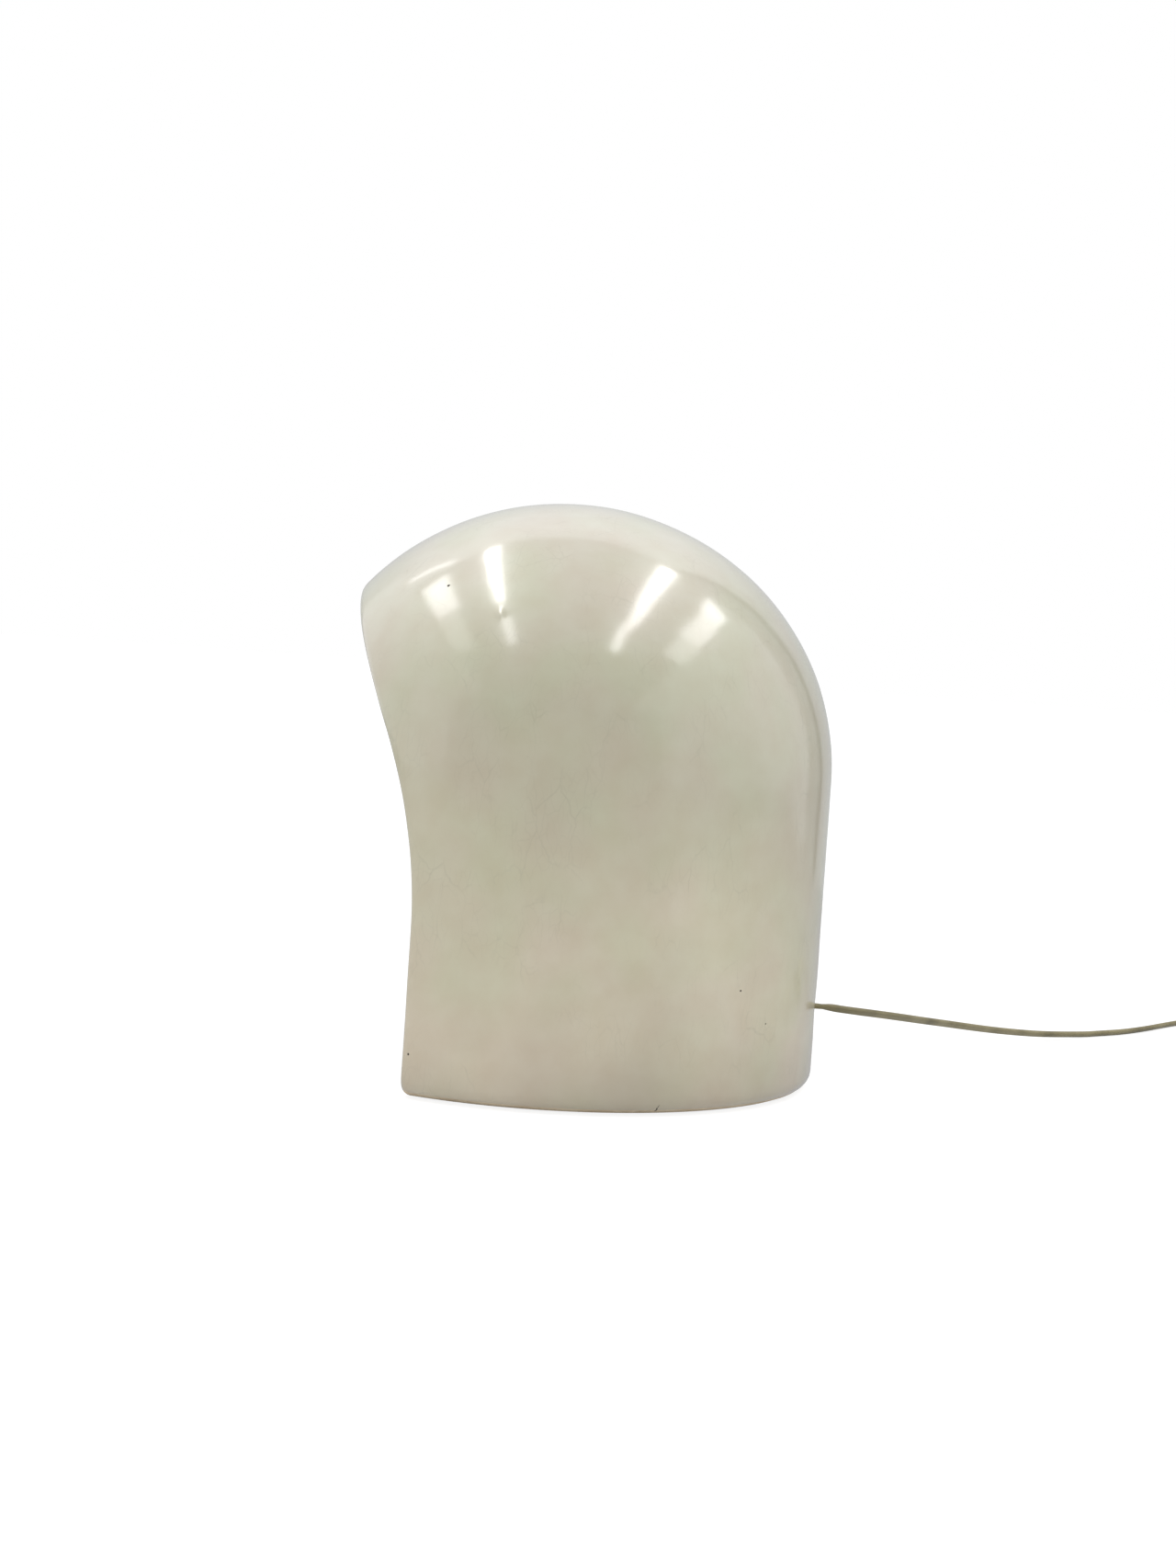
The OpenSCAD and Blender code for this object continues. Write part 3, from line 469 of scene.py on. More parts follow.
def addPiece(name, vertices, faces, finishName, body, slotName, replaced=(), smoothAngle=60,
             merged=0):
    piece = placeMesh(name, startMesh(vertices, faces, merged))
    return finishPiece(piece, (finishName,), body, replaced, smoothAngle)


def ringPoints(count):
    # The angles of so many points, evenly spaced round a full turn
    return [2 * math.pi * k / count for k in range(count)]


def skinFaces(rings, around, start=0, closed=False):
    # Faces that join each ring of points to the next, and the last to the first where closed
    faces = []
    for i in range(rings if closed else rings - 1):
        here, there = start + i * around, start + (i + 1) % rings * around
        faces += [(here + k, here + (k + 1) % around, there + (k + 1) % around, there + k)
                  for k in range(around)]
    return faces


def tubeFaces(rings, around, start=0):
    # The same with a cap at each end
    last = start + (rings - 1) * around
    return (skinFaces(rings, around, start)
            + [tuple(range(start + around - 1, start - 1, -1)), tuple(range(last, last + around))])


def lathe(profile, centre, steps=96):
    # A closed outline of (radius, height) turned round the upright line through centre
    vertices = [Vector((centre[0] + r * math.cos(a), centre[1] + r * math.sin(a), z)) * mm
                for a in ringPoints(steps) for r, z in profile]
    count = len(profile)
    faces = [face for face in skinFaces(steps, count, closed=True)
             if profile[face[0] % count][0] > 0 or profile[face[1] % count][0] > 0]
    return vertices, faces


def arc(centre, radius, start, end, steps):
    angles = [math.radians(start + (end - start) * i / steps) for i in range(steps + 1)]
    return [(centre[0] + radius * math.cos(a), centre[1] + radius * math.sin(a))
            for a in angles]


# The flex: its exit, the route that the CAD model has, and where its plug and switch lie
flex = {
    "width": 4.9,
    "thickness": 3.0,
    "groove": 0.28,
    "grooveWidth": 0.16,    # as a share of the flex's width
    "sides": 20,
    "squareAcross": 0.8,    # powers under 1, which square the oval of its section
    "squareOver": 0.75,
    "roll": 38,    # degrees that it has rolled onto its edge where it lies behind the lamp
    "rollStart": (1, 10),    # it rolls over between these distances behind the outlet
    "rollEnd": (400, 425),    # and back between these distances behind the origin
    "rolledHeight": 2.2,
    "steep": 0.9,    # where it rises more than this, its broad side faces the back
    "lengthNear": 0.55,
    "lengthFar": 1.16,
    "lengthInside": 0.19,
    "switchPlace": (-296, 449, 7),
    "switchTurn": -4,
    "switchHalf": 31,
    "inSwitch": 4,
    "straightBefore": 5,    # how far the flex runs straight ahead of the switch and behind it
    "straightAfter": 2,
    "plugPlace": (-128, 403, 6.8),
    "plugTurn": -14,
    "plugLength": 36,
    "bootLength": 20,
    "straightBehindBoot": 4,
    "outletHeight": 43,
    "inOutlet": 4,
    "near": [(-1, 136, 42.7), (-5, 142, 41.6), (-14, 153, 39.7), (-28, 162, 37.3),
             (-46, 173, 34.2), (-68, 184, 30.5), (-93, 196, 26.3), (-120, 210, 21.8),
             (-147, 226, 17.1), (-174, 243, 12.5), (-200, 261, 8.4), (-224, 280, 5.1),
             (-246, 300, 3), (-264, 320, 2), (-282, 340, 1.6), (-304, 358, 1.6),
             (-327, 374, 1.6), (-346, 388, 1.6), (-358.5, 401, 1.6), (-364, 415, 1.8),
             (-362, 430, 2.6), (-353.5, 442.5, 4.2), (-342.5, 449.8, 6)],
    "toCoil": [(7, -0.8, -1.6), (14, -1.6, -3.6)],    # from the switch's far mouth
    "tail": [(-216, 435, 8.8), (-205, 426.2, 8.6), (-194, 420.2, 7.6)],
    "inside": [(0, 118, 42.4), (0, 108, 38.8), (0, 98, 32.5), (0, 88, 24.5), (0, 78, 17),
               (0, 67, 12.2), (0, 55, 10.9), (0, 42, 10.8), (0, 30, 10.8), (0, 18, 10.9),
               (0, 8, 12.1), (0, -1.5, 15.2), (0, -9, 20.6), (0, -14, 27.4)],
    "inNipple": (37.5, 43.5, 60.3),    # heights in the nipple, on the lamp's axis
}
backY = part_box("hood")[1].y / mm
axisY = backY - hoodRadius
exitPoint = Vector((0, backY, flex["outletHeight"]))
flexStart = exitPoint - Vector((0, flex["inOutlet"], 0))


def onSwitch(along):
    # A point on the switch's long line, in millimetres ahead of its middle
    a = math.radians(flex["switchTurn"])
    return Vector(flex["switchPlace"]) + along * Vector((math.cos(a), math.sin(a), 0))


def behindPlug(back):
    # A point on the plug's long line, in millimetres behind its face
    a = math.radians(flex["plugTurn"])
    return Vector(flex["plugPlace"]) - back * Vector((math.cos(a), math.sin(a), 0))


def smoothRoute(points, parts=5):
    # A smooth curve through the points, with so many parts from each one to the next
    points = [Vector(p) for p in points]
    route = []
    last = len(points) - 1
    for i in range(last):
        a, b, c, d = (points[min(max(k, 0), last)] for k in range(i - 1, i + 3))
        for k in range(parts):
            t = k / parts
            route.append(0.5 * (2 * b + (c - a) * t + (2 * a - 5 * b + 4 * c - d) * t * t
                                + (3 * b - a - 3 * c + d) * t ** 3))
    return route + [points[-1]]


def flexRing():
    # Two cores side by side under one skin, with a shallow groove between them
    ring = []
    for a in ringPoints(flex["sides"]):
        across = 0.5 * flex["width"] * abs(math.cos(a)) ** flex["squareAcross"]
        high = 0.5 * flex["thickness"] * abs(math.sin(a)) ** flex["squareOver"]
        if abs(math.sin(a)) > 0.5:    # the groove runs along the two broad sides
            high -= flex["groove"] * math.exp(-(across / flex["grooveWidth"]
                                                / flex["width"]) ** 2)
        ring.append((math.copysign(across, math.cos(a)), math.copysign(high, math.sin(a))))
    return ring


def easeStep(t, start, end):
    t = min(max((t - start) / (end - start), 0), 1)
    return t * t * (3 - 2 * t)


def sweepFlex(route):
    # The ring's broad side lies level, as on the CAD tube, except where the flex has rolled
    vertices = []
    ring = flexRing()
    for i, at in enumerate(route):
        ahead = (route[min(i + 1, len(route) - 1)] - route[max(i - 1, 0)]).normalized()
        reference = Vector((0, 1, 0)) if abs(ahead.z) > flex["steep"] else Vector((0, 0, 1))
        side = ahead.cross(reference).normalized()
        over = side.cross(ahead)
        rolled = (easeStep(at.y - backY, *flex["rollStart"])
                  * (1 - easeStep(at.y, *flex["rollEnd"])))
        roll = math.radians(flex["roll"]) * rolled
        side, over = (math.cos(roll) * side + math.sin(roll) * over,
                      math.cos(roll) * over - math.sin(roll) * side)
        vertices += [(at + side * u + over * v) * mm for u, v in ring]
    return vertices, tubeFaces(len(route), len(ring))


# The coil: three turns side by side in, up a layer, three out, and up again to leave on top
coil = {
    "place": (-238, 412),
    "innerTurn": 22,
    "turnGap": 5.0,
    "layerGap": 3.2,
    "lowest": 2.4,
    "start": 97.1,
    "turns": 6.14,
    "pointsPerTurn": 40,
    "shift": (0.65, 0.95),    # the part of a turn in which the flex moves to the next one
    "inward": (0, 1),    # the turns that end with a move inward, outward or up
    "outward": (3, 4),
    "upward": (2, 5),
}


def movesMade(t, turns):
    # How many of the moves that these turns end with are made after t turns
    return sum(easeStep(t - turn, *coil["shift"]) for turn in turns)


def coilRoute():
    route = []
    steps = int(coil["turns"] * coil["pointsPerTurn"])
    for i in range(steps + 1):
        t = coil["turns"] * i / steps
        across = 2 - movesMade(t, coil["inward"]) + movesMade(t, coil["outward"])
        radius = coil["innerTurn"] + coil["turnGap"] * across
        a = math.radians(coil["start"] - 360 * t)
        route.append(Vector((coil["place"][0] + radius * math.cos(a),
                             coil["place"][1] + radius * math.sin(a),
                             coil["lowest"]
                             + coil["layerGap"] * movesMade(t, coil["upward"]))))
    return route


intoSwitch = flex["switchHalf"] - flex["inSwitch"]
nearRoute = smoothRoute([flexStart, exitPoint, *flex["near"],
                         onSwitch(-flex["switchHalf"] - flex["straightBefore"]),
                         onSwitch(-intoSwitch)])
nearRoute = [Vector((p.x, p.y, max(p.z, flex["rolledHeight"]))) for p in nearRoute]
farMouth = onSwitch(flex["switchHalf"] + flex["straightAfter"])
coilTurns = coilRoute()
bootEnd = flex["plugLength"] + flex["bootLength"]
farRoute = (smoothRoute([onSwitch(intoSwitch), farMouth,
                         *(farMouth + Vector(step) for step in flex["toCoil"]),
                         coilTurns[0]])[:-1]
            + coilTurns[:-1]
            + smoothRoute([*flex["tail"], behindPlug(bootEnd + flex["straightBehindBoot"]),
                           behindPlug(bootEnd)]))
insideRoute = smoothRoute([flexStart, *flex["inside"],
                           *((0, axisY, height) for height in flex["inNipple"])])


# The flex's finish is darkened to paint in its shade
def addFlex(name, route, replaced):
    return addPiece(name, *sweepFlex(route), "agedFlex", "lamp", "flex_pvc", replaced)


flexNear = addFlex("flexNear", nearRoute, ("flex_near",))
flexFar = addFlex("flexFar", farRoute, ("flex_to_coil", "flex_coil", "flex_tail"))
leadInside = addFlex("leadInside", insideRoute, ("lead_inside",))
print("flex laid")

# The tie: a covered wire strip bent round the coil, its two ends twisted together on top
tie = {
    "angle": 250,    # where on the coil it sits
    "reach": 27,    # from the coil's middle to the tie's
    "half": 8.5,    # of the loop's width, and then its lower and upper height
    "low": 0.8,
    "high": 9.1,
    "corner": 1.2,
    "cornerSteps": 5,
    "width": 4.4,
    "thickness": 0.8,
    "twists": 2.5,
    "endLength": 13,
    "endFrom": (3, -1.3, 11.0),    # outward, along the flex and up from the tie's middle
    "endSlant": 0.35,
    "endDrop": 1.2,
    "strand": 0.62,
    "strandPitch": 0.65,    # from the pair's middle line to each strand's
    "strandSteps": 40,
    "strandSides": 5,
}


def tieLoop():
    # The strip's middle line, as distances outward and up
    inner = tie["half"] - tie["corner"]
    low, high = tie["low"] + tie["corner"], tie["high"] - tie["corner"]
    loop = []
    for u, z, start in ((-inner, low, 180), (inner, low, 270), (inner, high, 0),
                        (-inner, high, 90)):
        loop += arc((u, z), tie["corner"], start, start + 90, tie["cornerSteps"])
    return loop


def addTie():
    a = math.radians(tie["angle"])
    outward, up = Vector((math.cos(a), math.sin(a), 0)), Vector((0, 0, 1))
    along = Vector((-math.sin(a), math.cos(a), 0))
    middle = Vector((*coil["place"], 0)) + outward * tie["reach"]
    loop = tieLoop()
    half, thick = tie["width"] / 2, tie["thickness"] / 2
    lip, shoulder = 0.4 * thick, 0.6 * half    # the strip thins towards its two edges
    section = [(-half, -lip), (-shoulder, -thick), (shoulder, -thick), (half, -lip),
               (half, lip), (shoulder, thick), (-shoulder, thick), (-half, lip)]
    vertices = []
    for i, (u, z) in enumerate(loop):
        before, after = loop[i - 1], loop[(i + 1) % len(loop)]
        normal = Vector((after[1] - before[1], before[0] - after[0])).normalized()
        for across, out in section:
            flat = Vector((u, z)) + normal * out
            vertices.append((middle + outward * flat.x + along * across + up * flat.y) * mm)
    faces = skinFaces(len(loop), len(section), closed=True)
    # Two strands wound round each other, lying on top of the coil
    for strand in (0, 1):
        start = len(vertices)
        for i in range(tie["strandSteps"] + 1):
            t = i / tie["strandSteps"]
            turn = 2 * math.pi * tie["twists"] * t + math.pi * strand
            out, on, over = tie["endFrom"]
            at = (middle + outward * (out + tie["endLength"] * t * tie["endSlant"])
                  + along * (on + tie["endLength"] * t) + up * (over - tie["endDrop"] * t)
                  + (outward * math.cos(turn) + up * math.sin(turn)) * tie["strandPitch"])
            vertices += [(at + (outward * math.cos(b) + up * math.sin(b)) * tie["strand"]) * mm
                         for b in ringPoints(tie["strandSides"])]
        faces += tubeFaces(tie["strandSteps"] + 1, tie["strandSides"], start)
    return addPiece("coilTie", vertices, faces, "tiePvc", "lamp", "tie_pvc", ("coil_tie",),
                    smoothAngle=50)


coilTie = addTie()

# Ribbed, tapered sleeve moulded on the flex behind the plug
boot = {
    "length": 23,
    "inPlug": 1,
    "start": 4.5,
    "end": 2.9,
    "flatness": 0.86,
    "ribs": 6,
    "ribDepth": 0.7,
    "ribbed": (0.12, 0.9),    # the part of the length that has ribs
    "rings": 71,
    "sides": 24,
    "straightParts": 30,
}


def bootRoute():
    # Straight out of the plug, and then along the flex as far as the sleeve reaches
    start, end = behindPlug(flex["plugLength"] - boot["inPlug"]), behindPlug(bootEnd)
    route = [start.lerp(end, i / boot["straightParts"])
             for i in range(boot["straightParts"] + 1)]
    lengths = [(p - start).length for p in route]
    for point in farRoute[-2::-1]:
        length = lengths[-1] + (point - route[-1]).length
        if length > boot["length"] + boot["inPlug"]:
            break
        route.append(point)
        lengths.append(length)
    return route, lengths


def addBoot():
    route, lengths = bootRoute()
    ribStart, ribEnd = boot["ribbed"]
    vertices = []
    for s in range(boot["rings"]):
        t = s / (boot["rings"] - 1)
        here = lengths[-1] * t
        i = min(max(k for k, length in enumerate(lengths) if length <= here + tiny),
                len(route) - 2)
        at = route[i].lerp(route[i + 1], (here - lengths[i]) / (lengths[i + 1] - lengths[i]))
        ahead = (route[i + 1] - route[i]).normalized()
        side = ahead.cross(Vector((0, 0, 1))).normalized()
        over = side.cross(ahead)
        radius = boot["start"] + (boot["end"] - boot["start"]) * t
        if ribStart < t < ribEnd:
            turn = 2 * math.pi * boot["ribs"] * (t - ribStart) / (ribEnd - ribStart)
            radius -= boot["ribDepth"] * (0.5 - 0.5 * math.cos(turn)) ** 2
        vertices += [(at + side * radius * math.cos(a)
                      + over * radius * boot["flatness"] * math.sin(a)) * mm
                     for a in ringPoints(boot["sides"])]
    return addPiece("plugBoot", vertices, tubeFaces(boot["rings"], boot["sides"]), "creamPvc",
                    "lamp", "plug_pvc")


plugBoot = addBoot()

# The plug's body: moulded round the pins, flat oval sections that taper to the sleeve
plug = {
    # Each station is the distance behind the face, the half width and the half thickness
    "stations": [(0, 9.6, 4.9), (0.6, 11.3, 6.0), (2.0, 12.2, 6.6), (4.5, 12.5, 6.8),
                 (10, 12.5, 6.8), (15, 12.3, 6.8), (21, 11.0, 6.5), (27, 8.8, 5.7),
                 (32, 6.9, 5.0), (35, 5.9, 4.6), (36, 5.0, 4.0)],
    "squareness": 3.2,
    "gripped": (14, 30),
    "grips": 5,
    "gripDepth": 0.35,
    "sides": 56,
    "between": 6,    # rings from each station to the next
}


def squared(share):
    # Pushes a sine or cosine outward, so that a circle becomes a rounder or squarer oval
    return math.copysign(abs(share) ** (2 / plug["squareness"]), share)


def addPlug():
    stations = smoothRoute(plug["stations"], plug["between"])
    a = math.radians(flex["plugTurn"])
    side, over = Vector((-math.sin(a), math.cos(a), 0)), Vector((0, 0, 1))
    gripStart, gripEnd = plug["gripped"]
    vertices = []
    for back, wide, thick in stations:
        if gripStart < back < gripEnd:
            turn = 2 * math.pi * plug["grips"] * (back - gripStart) / (gripEnd - gripStart)
            thick -= plug["gripDepth"] * (0.5 - 0.5 * math.cos(turn))
        vertices += [(behindPlug(back) + side * squared(math.cos(b)) * wide
                      + over * squared(math.sin(b)) * thick) * mm
                     for b in ringPoints(plug["sides"])]
    return addPiece("plugShell", vertices, tubeFaces(len(stations), plug["sides"]), "creamPvc",
                    "lamp", "plug_pvc", ("plug_body",), smoothAngle=50)


plugShell = addPlug()

# The ceramic hood: a domed drum, cut by a rim that bends forward to a brow
hood = {
    "height": 302.4,
    "domeFlat": 4.6,
    "shoulderInset": 7.0,
    "wall": 7.0,
    "floor": 8.0,
    "baseRound": 8.0,
    "coveRound": 6.0,
    "coveFade": 34,    # the height over which the inside's rows level out above the cove
    "covePower": 1.5,
    "rimFront": 60.0,
    "rimStraight": 82.0,
    "rimBend": 245.0,
    "rimLean": 24.0,
    "lipReach": 5.6,
    "footHeight": 1.0,
    "recessRadius": 105.0,
    "recessDepth": 3.0,
    "sillWidth": 25.0,
    "outletRadius": 4.5,
    "screwHole": 2.25,
    "screwSpread": 34.5,
    "recessSteps": 96,
    "holeSteps": 48,
    "cutInward": 20,    # how far the holes' cutters reach in, past the wall and the floor
    "cutBehind": 5,    # and how far out, behind the wall, below the floor and below the foot
    "cutBelow": 4,
    "recessBelow": 2,
    "weld": 0.002,    # points closer than this are one
    "dryAbove": 0.1,    # what faces down, up to this height above the recess, has no glaze
    "dryFacing": -0.6,
    "rimSearch": (55, 179.9),    # the rim lies between these angles from the back line
    "halvings": 36,
    # Slow swells of a slip-cast wall, and the pull of the glaze into the outlet
    "waviness": 0.28,
    "waveSize": 62.0,
    "fineWaveShare": 0.35,
    "fineWaveSize": 21,
    "flatFoot": 0.5,    # nothing below this height swells
    "outletDimple": 1.1,
    "dimpleRadius": 9.0,
    # The mesh's rows, from the foot's middle to the dome, and its columns from back to rim
    "floorRows": 10,
    "roundRows": 6,
    "rowStep": 2.9,
    "fineStep": 1.1,    # the rows lie closer together round the outlet, between these heights
    "fineRows": (27, 57),
    "lastRow": 1.5,    # the least step from the last row of the wall to the dome
    "domeRows": 124,
    "columns": 112,
    "evenShare": 0.33,    # the columns lie closer at the back, by this share and power
    "crowding": 1.6,
    "lipSteps": 11,
    "sharpAngle": 38,
}
shoulderRadius = hoodRadius - hood["shoulderInset"]
domeRise = hoodRadius - hood["domeFlat"]
shoulderHeight = hood["height"] - domeRise
crownRadius = ((hood["shoulderInset"] ** 2 + domeRise ** 2 - shoulderRadius ** 2)
               / (2 * (domeRise - shoulderRadius)))
crownHeight = shoulderHeight + domeRise - crownRadius
crownStart = math.radians(90) - math.asin(hood["shoulderInset"] / (crownRadius - shoulderRadius))


def domeRow(beta):
    # A row over the dome, on a plane through the front-to-back axis that is tilted by beta
    def at(psi, outer):
        inset = 0 if outer else hood["wall"]
        normal = (math.sin(psi) * math.cos(beta), math.cos(psi), math.sin(psi) * math.sin(beta))
        rise = math.asin(max(-1, min(1, normal[2])))
        flat = math.hypot(normal[0], normal[1])
        if rise < crownStart:
            radius = hood["shoulderInset"] + (shoulderRadius - inset) * math.cos(rise)
            height = shoulderHeight + (shoulderRadius - inset) * math.sin(rise)
        else:
            radius = (crownRadius - inset) * math.cos(rise)
            height = crownHeight + (crownRadius - inset) * math.sin(rise)
        if flat < tiny:
            return Vector((0, 0, height))
        return Vector((radius * normal[0] / flat, radius * normal[1] / flat, height))
    return at


def wallRow(outerRadius, outerHeight, innerRadius, innerHeight, squeeze, side):
    # A level row round the wall or the floor, on the left or the right
    def at(psi, outer):
        radius, height = (outerRadius, outerHeight) if outer else (innerRadius, innerHeight)
        return Vector((side * squeeze * radius * math.sin(psi), radius * math.cos(psi), height))
    return at


def hoodRows():
    # Each row runs from the back line to the rim, and gives its outer or inner point at an angle
    foot = hoodRadius - hood["baseRound"]
    inside = hoodRadius - hood["wall"]
    cove = inside - hood["coveRound"]
    sizes = [(foot, 0, cove, hood["floor"], k / hood["floorRows"])
             for k in range(hood["floorRows"] + 1)]
    for i in range(1, hood["roundRows"] + 1):
        a = math.radians(90 * i / hood["roundRows"])
        sizes.append((foot + hood["baseRound"] * math.sin(a),
                      hood["baseRound"] * (1 - math.cos(a)),
                      cove + hood["coveRound"] * math.sin(a),
                      hood["floor"] + hood["coveRound"] * (1 - math.cos(a)), 1))
    fineStart, fineEnd = hood["fineRows"]
    height = hood["baseRound"]
    while True:
        height += hood["fineStep"] if fineStart < height < fineEnd else hood["rowStep"]
        if height >= shoulderHeight - hood["lastRow"]:
            break
        share = max(0, 1 - (height - hood["baseRound"]) / hood["coveFade"])
        raised = height + hood["coveRound"] * share ** hood["covePower"]
        sizes.append((hoodRadius, height, inside, raised, 1))
    return ([wallRow(*size, 1) for size in sizes]
            + [domeRow(math.pi * i / hood["domeRows"]) for i in range(hood["domeRows"] + 1)]
            + [wallRow(*size, -1) for size in reversed(sizes[1:])])


def rimGap(point):
    # How far a point lies behind the rim, and the rim's normal, seen from the side
    ahead = -point.y
    lean = math.radians(hood["rimLean"])
    centre = (hood["rimFront"] + hood["rimBend"], hood["rimStraight"])
    if point.z <= hood["rimStraight"]:
        return hood["rimFront"] - ahead, Vector((0, -1, 0))
    endAhead = centre[0] - hood["rimBend"] * math.cos(lean)
    endHeight = centre[1] + hood["rimBend"] * math.sin(lean)
    past = (ahead - endAhead) * math.sin(lean) + (point.z - endHeight) * math.cos(lean)
    if past < 0:
        a = math.atan2(point.z - centre[1], centre[0] - ahead)
        gap = math.hypot(centre[0] - ahead, point.z - centre[1]) - hood["rimBend"]
        return gap, Vector((0, -math.cos(a), -math.sin(a)))
    gap = -(ahead - endAhead) * math.cos(lean) + (point.z - endHeight) * math.sin(lean)
    return gap, Vector((0, -math.cos(lean), -math.sin(lean)))


def lipAt(row, psi):
    # How far the lip is from the rim, the wall's middle, its half thickness and the way ahead
    outer, inner = row(psi, True), row(psi, False)
    middle = (outer + inner) / 2
    half = (outer - inner) / 2
    gap, normal = rimGap(middle)
    out = half.normalized()
    ahead = normal - out * normal.dot(out)
    ahead = ahead.normalized() if ahead.length > tiny else Vector((0, -1, 0))
    reach = math.hypot(half.dot(normal), hood["lipReach"] * ahead.dot(normal))
    return gap - reach, middle, half, ahead


def rimAngle(row):
    # The angle from the back line at which a row meets the rim, found by halving
    low, high = (math.radians(a) for a in hood["rimSearch"])
    for _ in range(hood["halvings"]):
        middle = (low + high) / 2
        if lipAt(row, middle)[0] > 0:
            low = middle
        else:
            high = middle
    return low


def buildHood():
    rows = hoodRows()
    even, columns, lipSteps = hood["evenShare"], hood["columns"], hood["lipSteps"]
    shares = [i / (columns - 1) for i in range(columns)]
    spread = [even * w + (1 - even) * w ** hood["crowding"] for w in shares]
    vertices = []
    for row in rows:
        last = rimAngle(row)
        vertices += [row(last * s, True) for s in spread]
        _, middle, half, ahead = lipAt(row, last)
        for k in range(1, lipSteps):
            a = math.pi * k / lipSteps
            vertices.append(middle + half * math.cos(a) + ahead * hood["lipReach"] * math.sin(a))
        vertices += [row(last * s, False) for s in reversed(spread)]
    across = 2 * columns + lipSteps - 1
    count = len(rows)
    faces = []
    for i in range(count):
        here, there = i * across, (i + 1) % count * across
        faces += [(here + k, there + k, there + k + 1, here + k + 1) for k in range(across - 1)]
    return vertices, faces


def swellAt(point):
    swell = (noise.noise(point / hood["waveSize"])
             + hood["fineWaveShare"] * noise.noise(point / hood["fineWaveSize"]))
    shift = hood["waviness"] * swell
    if point.y > 0:
        away = math.hypot(point.x, point.z - (flex["outletHeight"] - hood["footHeight"]))
        shift -= hood["outletDimple"] * math.exp(-(away / hood["dimpleRadius"]) ** 2)
    return shift


def prismCutter(outline, place):
    # A closed prism between the two ends that place() gives for each point of the outline
    count = len(outline)
    mesh = bpy.data.meshes.new("cutter")
    mesh.from_pydata([place(u, v, end) for end in (0, 1) for u, v in outline], [],
                     tubeFaces(2, count))
    cutter = bpy.data.objects.new("cutter", mesh)
    scene.collection.objects.link(cutter)
    return cutter


def cutAway(piece, cutters):
    for cutter in cutters:
        cut = piece.modifiers.new("cut", "BOOLEAN")
        cut.object = cutter
        cut.operation = "DIFFERENCE"
        cut.solver = "EXACT"
    graph = bpy.context.evaluated_depsgraph_get()
    mesh = bpy.data.meshes.new_from_object(piece.evaluated_get(graph))
    piece.modifiers.clear()
    old = piece.data
    piece.data = mesh
    bpy.data.meshes.remove(old)
    for cutter in cutters:
        bpy.data.objects.remove(cutter)
    shaped = bmesh.new()
    shaped.from_mesh(mesh)
    bmesh.ops.remove_doubles(shaped, verts=shaped.verts, dist=hood["weld"] * mm)
    bmesh.ops.dissolve_degenerate(shaped, edges=shaped.edges, dist=hood["weld"] * mm)
    shaped.to_mesh(mesh)
    shaped.free()


def hoodCutters():
    # The recess under the floor, the outlet for the flex, and the two screw holes
    foot, inward = hood["footHeight"], hood["cutInward"]
    chord = math.degrees(math.acos((hood["sillWidth"] - hood["rimFront"]) / hood["recessRadius"]))
    recess = arc((0, 0), hood["recessRadius"], 90 - chord, 90 + chord, hood["recessSteps"])
    circle = [(math.cos(a), math.sin(a)) for a in ringPoints(hood["holeSteps"])]
    cutters = [
        prismCutter(recess, lambda u, v, end: (
            u * mm, (v + axisY) * mm,
            (foot + (hood["recessDepth"] if end else -hood["recessBelow"])) * mm)),
        prismCutter(circle, lambda u, v, end: (
            u * hood["outletRadius"] * mm, (backY + (hood["cutBehind"] if end else -inward)) * mm,
            (flex["outletHeight"] - v * hood["outletRadius"]) * mm))]
    for side in (-1, 1):
        cutters.append(prismCutter(circle, lambda u, v, end, side=side: (
            (side * hood["screwSpread"] + u * hood["screwHole"]) * mm,
            (axisY + v * hood["screwHole"]) * mm, (inward if end else -hood["cutBelow"]) * mm)))
    return cutters


def addHood():
    # In millimetres until the swells are made
    shaped = startMesh(*buildHood(), merged=hood["weld"])
    shaped.normal_update()
    moves = [v.normal * swellAt(v.co) for v in shaped.verts]
    for vertex, move in zip(shaped.verts, moves):
        if vertex.co.z > hood["flatFoot"]:
            vertex.co += move
    for vertex in shaped.verts:
        vertex.co = (vertex.co + Vector((0, axisY, hood["footHeight"]))) * mm
    piece = placeMesh("ceramicHood", shaped)
    cutAway(piece, hoodCutters())
    piece.data.materials.clear()
    finishPiece(piece, ("crackleGlaze", "bisque"), "lamp", ("hood",),
                hood["sharpAngle"])
    # The underside's dry body shows where the glaze was wiped off
    underside = (hood["footHeight"] + hood["recessDepth"] + hood["dryAbove"]) * mm
    for polygon in piece.data.polygons:
        low = polygon.center.z < underside and polygon.normal.z < hood["dryFacing"]
        polygon.material_index = 1 if low else 0
    return piece


ceramicHood = addHood()
print("hood made:", len(ceramicHood.data.vertices), "vertices")


def viewRay(x, y):
    direction = Vector((x - imageWidth / 2 + camera["shiftX"] * longSide,
                        imageHeight / 2 - y + camera["shiftY"] * longSide,
                        -longSide * camera["lens"] / camera["sensorWidth"]))
    return cameraPlace, (cameraTurn @ direction).normalized()


def onSurface(surface, point):
    # Where the view ray through an image point meets a surface; a miss takes the place nearest
    start, direction = viewRay(*point)
    place, normal, _, _ = surface.ray_cast(start, direction)
    if place is None:
        distances = [camera["searchFrom"] + camera["searchStep"] * i
                     for i in range(camera["searchSteps"])]
        tries = [surface.find_nearest(start + direction * distance) for distance in distances]
        place, normal, _, _ = min(tries, key=lambda found: found[3])
    return place, normal


